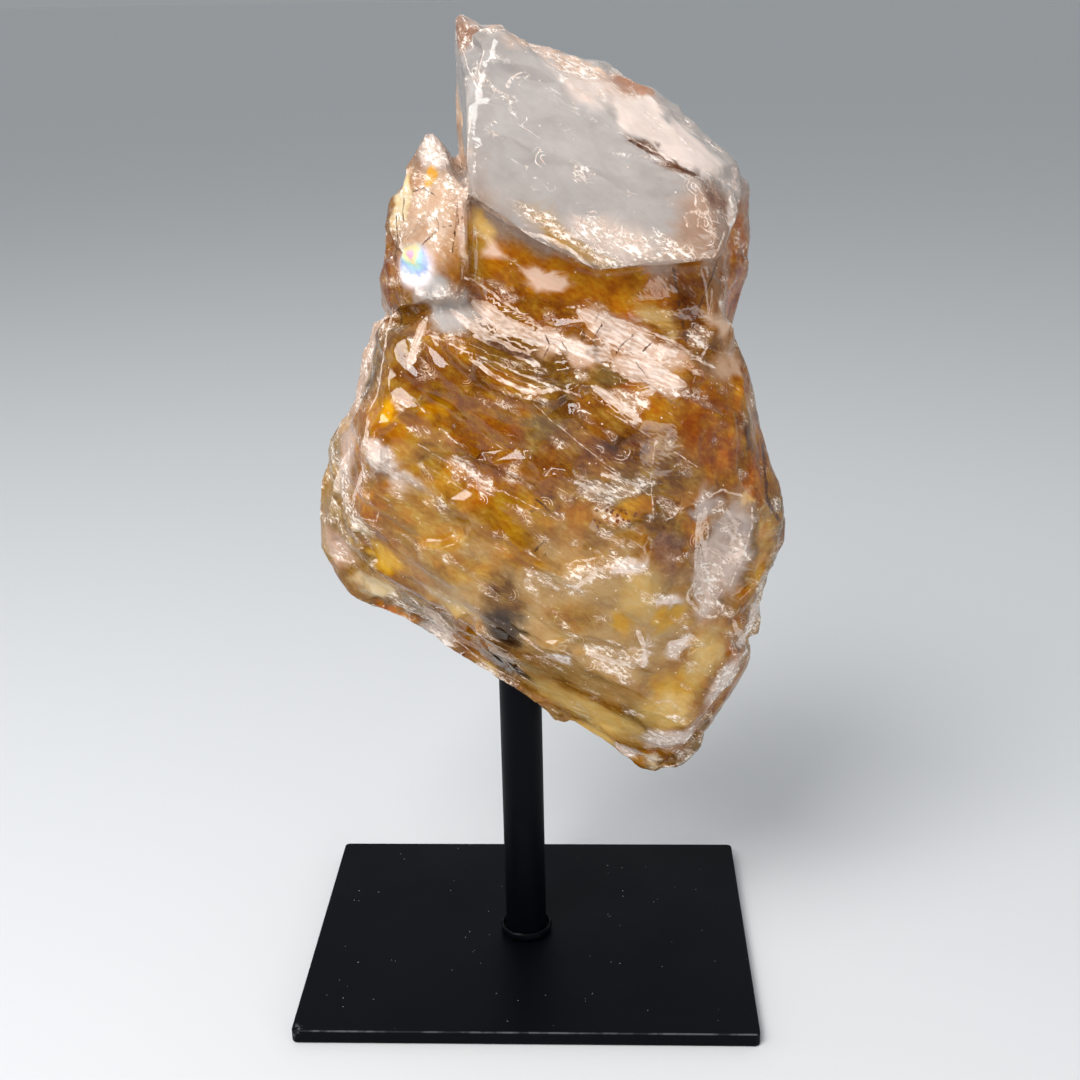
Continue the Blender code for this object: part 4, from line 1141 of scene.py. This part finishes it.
def kept_in_box(mesh, low, high):
    """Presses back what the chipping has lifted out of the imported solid's box, a tenth of a mm."""
    flat = np.empty(len(mesh.vertices) * 3)
    mesh.vertices.foreach_get("co", flat)
    mesh.vertices.foreach_set("co", np.clip(flat.reshape(-1, 3), low, high).ravel())
    mesh.update()


stone.data = run_tree(stone, chipping_tree(), {
    "Levels": SPLIT_LEVELS, "Chip size": CHIP_SIZE, "Chip depth": CHIP_DEPTH,
    "Hackle size": HACKLE_SIZE, "Hackle depth": HACKLE_DEPTH, "Material": quartz_material(),
})
kept_in_box(stone.data, *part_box("quartz"))
stone.data.set_sharp_from_angle(angle=SHARP_ANGLE)
print("mean milkiness and crush:", [round(float(v), 2) for v in paint(stone.data)])
print("stone after splitting:", 2 * len(stone.data.polygons), "triangles")
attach(stone, "root")
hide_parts("quartz")

# %% [markdown]
# ## The stand's paint
# The stand is mild steel with a satin black powder coat. Powder coat dries with a faint orange
# peel, a ripple about a millimetre across, and it holds dust. Along the plate's front edge and at
# its left corner it has been knocked off in places, down to the steel.

# %% Powder coat
PLATE_TOP = 3.2  # this one and the next two in mm
PLATE_FRONT = -38.1
PLATE_CORNER = (-50.2, -37.6, 3.1)
COAT = "#04050A"
BARE_STEEL = "#74767A"
COAT_MIRROR = 0.07  # a satin coat scatters most of what it mirrors
PEEL_SIZE = 1.1  # mm
PEEL_DEPTH = 0.05 * MM
PATCH_SIZE = 22  # mm, of the places that are a little more matt


def worn_places(tree, place):
    """Where the coat is gone: a broken line along the top front edge, and the left corner."""
    flat = add_node(tree, "ShaderNodeVectorMath", {0: place, 1: (0, 1, 1)}, operation="MULTIPLY")
    from_edge, from_corner = (
        add_node(tree, "ShaderNodeVectorMath", {0: here, 1: there}, operation="DISTANCE").outputs["Value"]
        for here, there in ((flat, (0, PLATE_FRONT, PLATE_TOP)), (place, PLATE_CORNER))
    )
    scuffs, nicks = (
        add_node(tree, "ShaderNodeTexNoise", {"Vector": place, "Scale": 1 / size, "Detail": detail})
        for size, detail in ((4.0, 8.0), (0.7, 3.0))
    )
    line = add_node(tree, "ShaderNodeMapRange", {"Value": from_edge, "From Min": 0.34, "From Max": 0.12})
    kept = add_node(tree, "ShaderNodeMapRange", {
        "Value": scuffs, "From Min": 0.42, "From Max": 0.56, "To Min": 0.15,
    })
    edge = add_node(tree, "ShaderNodeMath", {0: line, 1: kept}, operation="MULTIPLY")
    corner = add_node(tree, "ShaderNodeMapRange", {"Value": from_corner, "From Min": 2.2, "From Max": 0.6})
    chipped = add_node(tree, "ShaderNodeMapRange", {"Value": nicks, "From Min": 0.52, "From Max": 0.58})
    chip = add_node(tree, "ShaderNodeMath", {0: corner, 1: chipped}, operation="MULTIPLY")
    return add_node(tree, "ShaderNodeMath", {0: edge, 1: chip}, operation="MAXIMUM").outputs[0]


def powder_coat_material():
    """Satin black powder coat on steel: nearly black, with soft broad glints and bare edges."""
    material, tree, shader = new_material("black_powder_coat_on_steel")
    place = place_in_mm(tree)
    peel, patches = (
        add_node(tree, "ShaderNodeTexNoise", {"Vector": place, "Scale": 1 / size, "Detail": detail})
        for size, detail in ((PEEL_SIZE, 2.0), (PATCH_SIZE, 4.0))
    )
    worn = worn_places(tree, place)
    satin = add_node(tree, "ShaderNodeMapRange", {
        "Value": patches, "From Min": 0.3, "From Max": 0.7, "To Min": 0.38, "To Max": 0.52,
    })
    colour = add_node(
        tree, "ShaderNodeMix", {"Factor": worn, "A": linear(COAT), "B": linear(BARE_STEEL)},
        data_type="RGBA",
    )
    bump = add_node(tree, "ShaderNodeBump", {"Height": peel, "Strength": 0.25, "Distance": PEEL_DEPTH})
    shader.inputs["Specular IOR Level"].default_value = COAT_MIRROR
    for socket, name in (
        (colour.outputs["Result"], "Base Color"), (worn, "Metallic"),
        (satin.outputs[0], "Roughness"), (bump.outputs[0], "Normal"),
    ):
        tree.links.new(socket, shader.inputs[name])
    return material


coat = powder_coat_material()
for name in ("base_plate", "post", "weld_bead"):
    nodes[name].data.materials.clear()
    nodes[name].data.materials.append(coat)
print("coated:", coat.name)

# %% [markdown]
# ## Dust
# Black shows every speck. A few dozen grains of lint lie on the plate. Geometry Nodes scatter them
# over the plate's top faces from a fixed seed, and each is a flattened ball of 20 faces.

# %% Dust on the plate
DUST_SIZE = 0.20 * MM
DUST_PER_SQUARE_METRE = 9000.0
DUST_SEED = 7
GRAIN_FACES = 20
LINT_DARK = "#6F7176"
LINT_PALE = "#C9CBD0"


def dust_material():
    """Pale lint: matt and grey."""
    material, tree, shader = new_material("pale_lint_dust")
    metres = add_node(tree, "ShaderNodeTexCoord").outputs["Object"]
    shade = add_node(tree, "ShaderNodeTexNoise", {"Vector": metres, "Scale": 1 / (6 * MM)})
    colour = add_node(
        tree, "ShaderNodeMix", {"Factor": shade, "A": linear(LINT_DARK), "B": linear(LINT_PALE)},
        data_type="RGBA",
    )
    tree.links.new(colour.outputs["Result"], shader.inputs["Base Color"])
    shader.inputs["Roughness"].default_value = 0.9
    return material


def dust_tree():
    """Grains scattered over the faces that point up."""
    tree, start, end = new_tree("dust", {
        "Density": "Float", "Grain size": "Float", "Seed": "Int", "Material": "Material",
    })
    normal = add_node(tree, "GeometryNodeInputNormal").outputs[0]
    up = add_node(tree, "ShaderNodeSeparateXYZ", {0: normal}).outputs["Z"]
    top = add_node(
        tree, "FunctionNodeCompare", {0: up, 1: 0.9}, data_type="FLOAT", operation="GREATER_THAN"
    )
    points = add_node(tree, "GeometryNodeDistributePointsOnFaces", {
        "Mesh": start.outputs["Geometry"], "Selection": top,
        "Density": start.outputs["Density"], "Seed": start.outputs["Seed"],
    })
    grain = add_node(tree, "GeometryNodeMeshIcoSphere", {
        "Radius": start.outputs["Grain size"], "Subdivisions": 1,
    })
    sizes, turns = (
        add_node(
            tree, "FunctionNodeRandomValue", {**limits, "Seed": start.outputs["Seed"]},
            data_type="FLOAT_VECTOR",
        )
        for limits in ({"Min": (0.25, 0.2, 0.2), "Max": (1.0, 0.45, 0.35)}, {"Max": (0, 0, math.tau)})
    )
    scattered = add_node(tree, "GeometryNodeInstanceOnPoints", {
        "Points": points, "Instance": grain, "Scale": sizes,
    })
    turned_grains = add_node(tree, "GeometryNodeRotateInstances", {
        "Instances": scattered, "Rotation": turns,
    })
    return finish_tree(tree, start, end, turned_grains)


dust = merged_copy("base_plate", "dust")
dust.data = run_tree(dust, dust_tree(), {
    "Density": DUST_PER_SQUARE_METRE, "Grain size": DUST_SIZE, "Seed": DUST_SEED,
    "Material": dust_material(),
})
print("dust:", len(dust.data.polygons) // GRAIN_FACES, "grains")
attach(dust, "root")

# %% [markdown]
# ## The floor and the light
# The piece stands on a pale paper floor that runs far back, in the soft light of a small studio.
# The key light hangs above the camera on its left, so the floor is brightest near the piece and falls
# off to grey behind. Three weaker lights fill in from above, from the left and low from the right.
# The room behind the camera is dim. That matters for a clear stone: its glints need something bright
# to mirror and its depths need something dark to show.

# %% Floor
FLOOR_SIZE = 160.0
FLOOR_DROP = 0.1 * MM  # it lies this far below the plate, so that the two don't touch
PAPER = "#DCDEE0"


def floor():
    """A wide pale floor."""
    material, _, shader = new_material("pale_paper_floor")
    shader.inputs["Base Color"].default_value = linear(PAPER)
    shader.inputs["Roughness"].default_value = 0.8
    shader.inputs["Specular IOR Level"].default_value = 0.2
    bm = bmesh.new()
    bmesh.ops.create_grid(bm, x_segments=1, y_segments=1, size=FLOOR_SIZE / 2)
    mesh = bpy.data.meshes.new("floor")
    bm.to_mesh(mesh)
    bm.free()
    mesh.materials.append(material)
    piece = bpy.data.objects.new("floor", mesh)
    piece.location.z = -FLOOR_DROP
    bpy.context.collection.objects.link(piece)
    return piece


floor()
print("floor in metres:", FLOOR_SIZE)

# %% Lights
# name: place, where it points, size in metres, power in watts, colour
LIGHTS = {
    "key softbox": ((-0.26, -0.42, 0.66), (0, 0, 0.11), (0.40, 0.40), 5.9, "#FFFDFB"),
    "overhead softbox": ((-0.15, 0.15, 1.0), (-0.15, 0.15, 0), (0.9, 0.7), 0.85, "#FFFFFF"),
    "left softbox": ((-0.95, -0.10, 0.45), (0, 0, 0.11), (0.35, 0.8), 1.2, "#F6F9FF"),
    "right softbox": ((0.55, -0.75, 0.15), (0, 0, 0.09), (0.50, 0.3), 2.0, "#FFFDFB"),
}

for name, (place, target, size, power, colour) in LIGHTS.items():
    data = bpy.data.lights.new(name, "AREA")
    data.shape = "RECTANGLE"
    data.size, data.size_y = size
    data.energy = power
    data.color = linear(colour)[:3]
    lamp = bpy.data.objects.new(name, data)
    lamp.location = place
    aim = Vector(target) - Vector(place)
    lamp.rotation_euler = aim.to_track_quat("-Z", "Y").to_euler()
    bpy.context.collection.objects.link(lamp)
print("lights:", ", ".join(LIGHTS))

# %% Room
ROOM_COLOUR = "#C6CACD"
ROOM_STRENGTH = 1.0
ROOM_DIM = 0.27  # what is left of it behind the camera
ROOM_LOW = 0.55  # and near the floor, so that the far floor runs into it without a line


def room():
    """Even grey light from the room, dimmer behind the camera and brightest ahead of it."""
    world = bpy.data.worlds.new("studio room")
    bpy.context.scene.world = world
    world.use_nodes = True
    tree = world.node_tree
    way = add_node(tree, "ShaderNodeTexCoord").outputs["Generated"]
    parts = add_node(tree, "ShaderNodeSeparateXYZ", {0: way})
    ahead = add_node(tree, "ShaderNodeMapRange", {
        "Value": parts.outputs["Y"], "From Min": -0.7, "From Max": 0.4,
        "To Min": ROOM_STRENGTH * ROOM_DIM, "To Max": ROOM_STRENGTH,
    })
    low = add_node(tree, "ShaderNodeMapRange", {
        "Value": parts.outputs["Z"], "From Min": 0.0, "From Max": 0.35, "To Min": ROOM_LOW,
    })
    strength = add_node(tree, "ShaderNodeMath", {0: ahead, 1: low}, operation="MULTIPLY")
    light = tree.nodes["Background"]
    light.inputs["Color"].default_value = linear(ROOM_COLOUR)
    tree.links.new(strength.outputs[0], light.inputs["Strength"])
    return world


print("room:", room().name)
bpy.context.scene.view_settings.view_transform = "Standard"
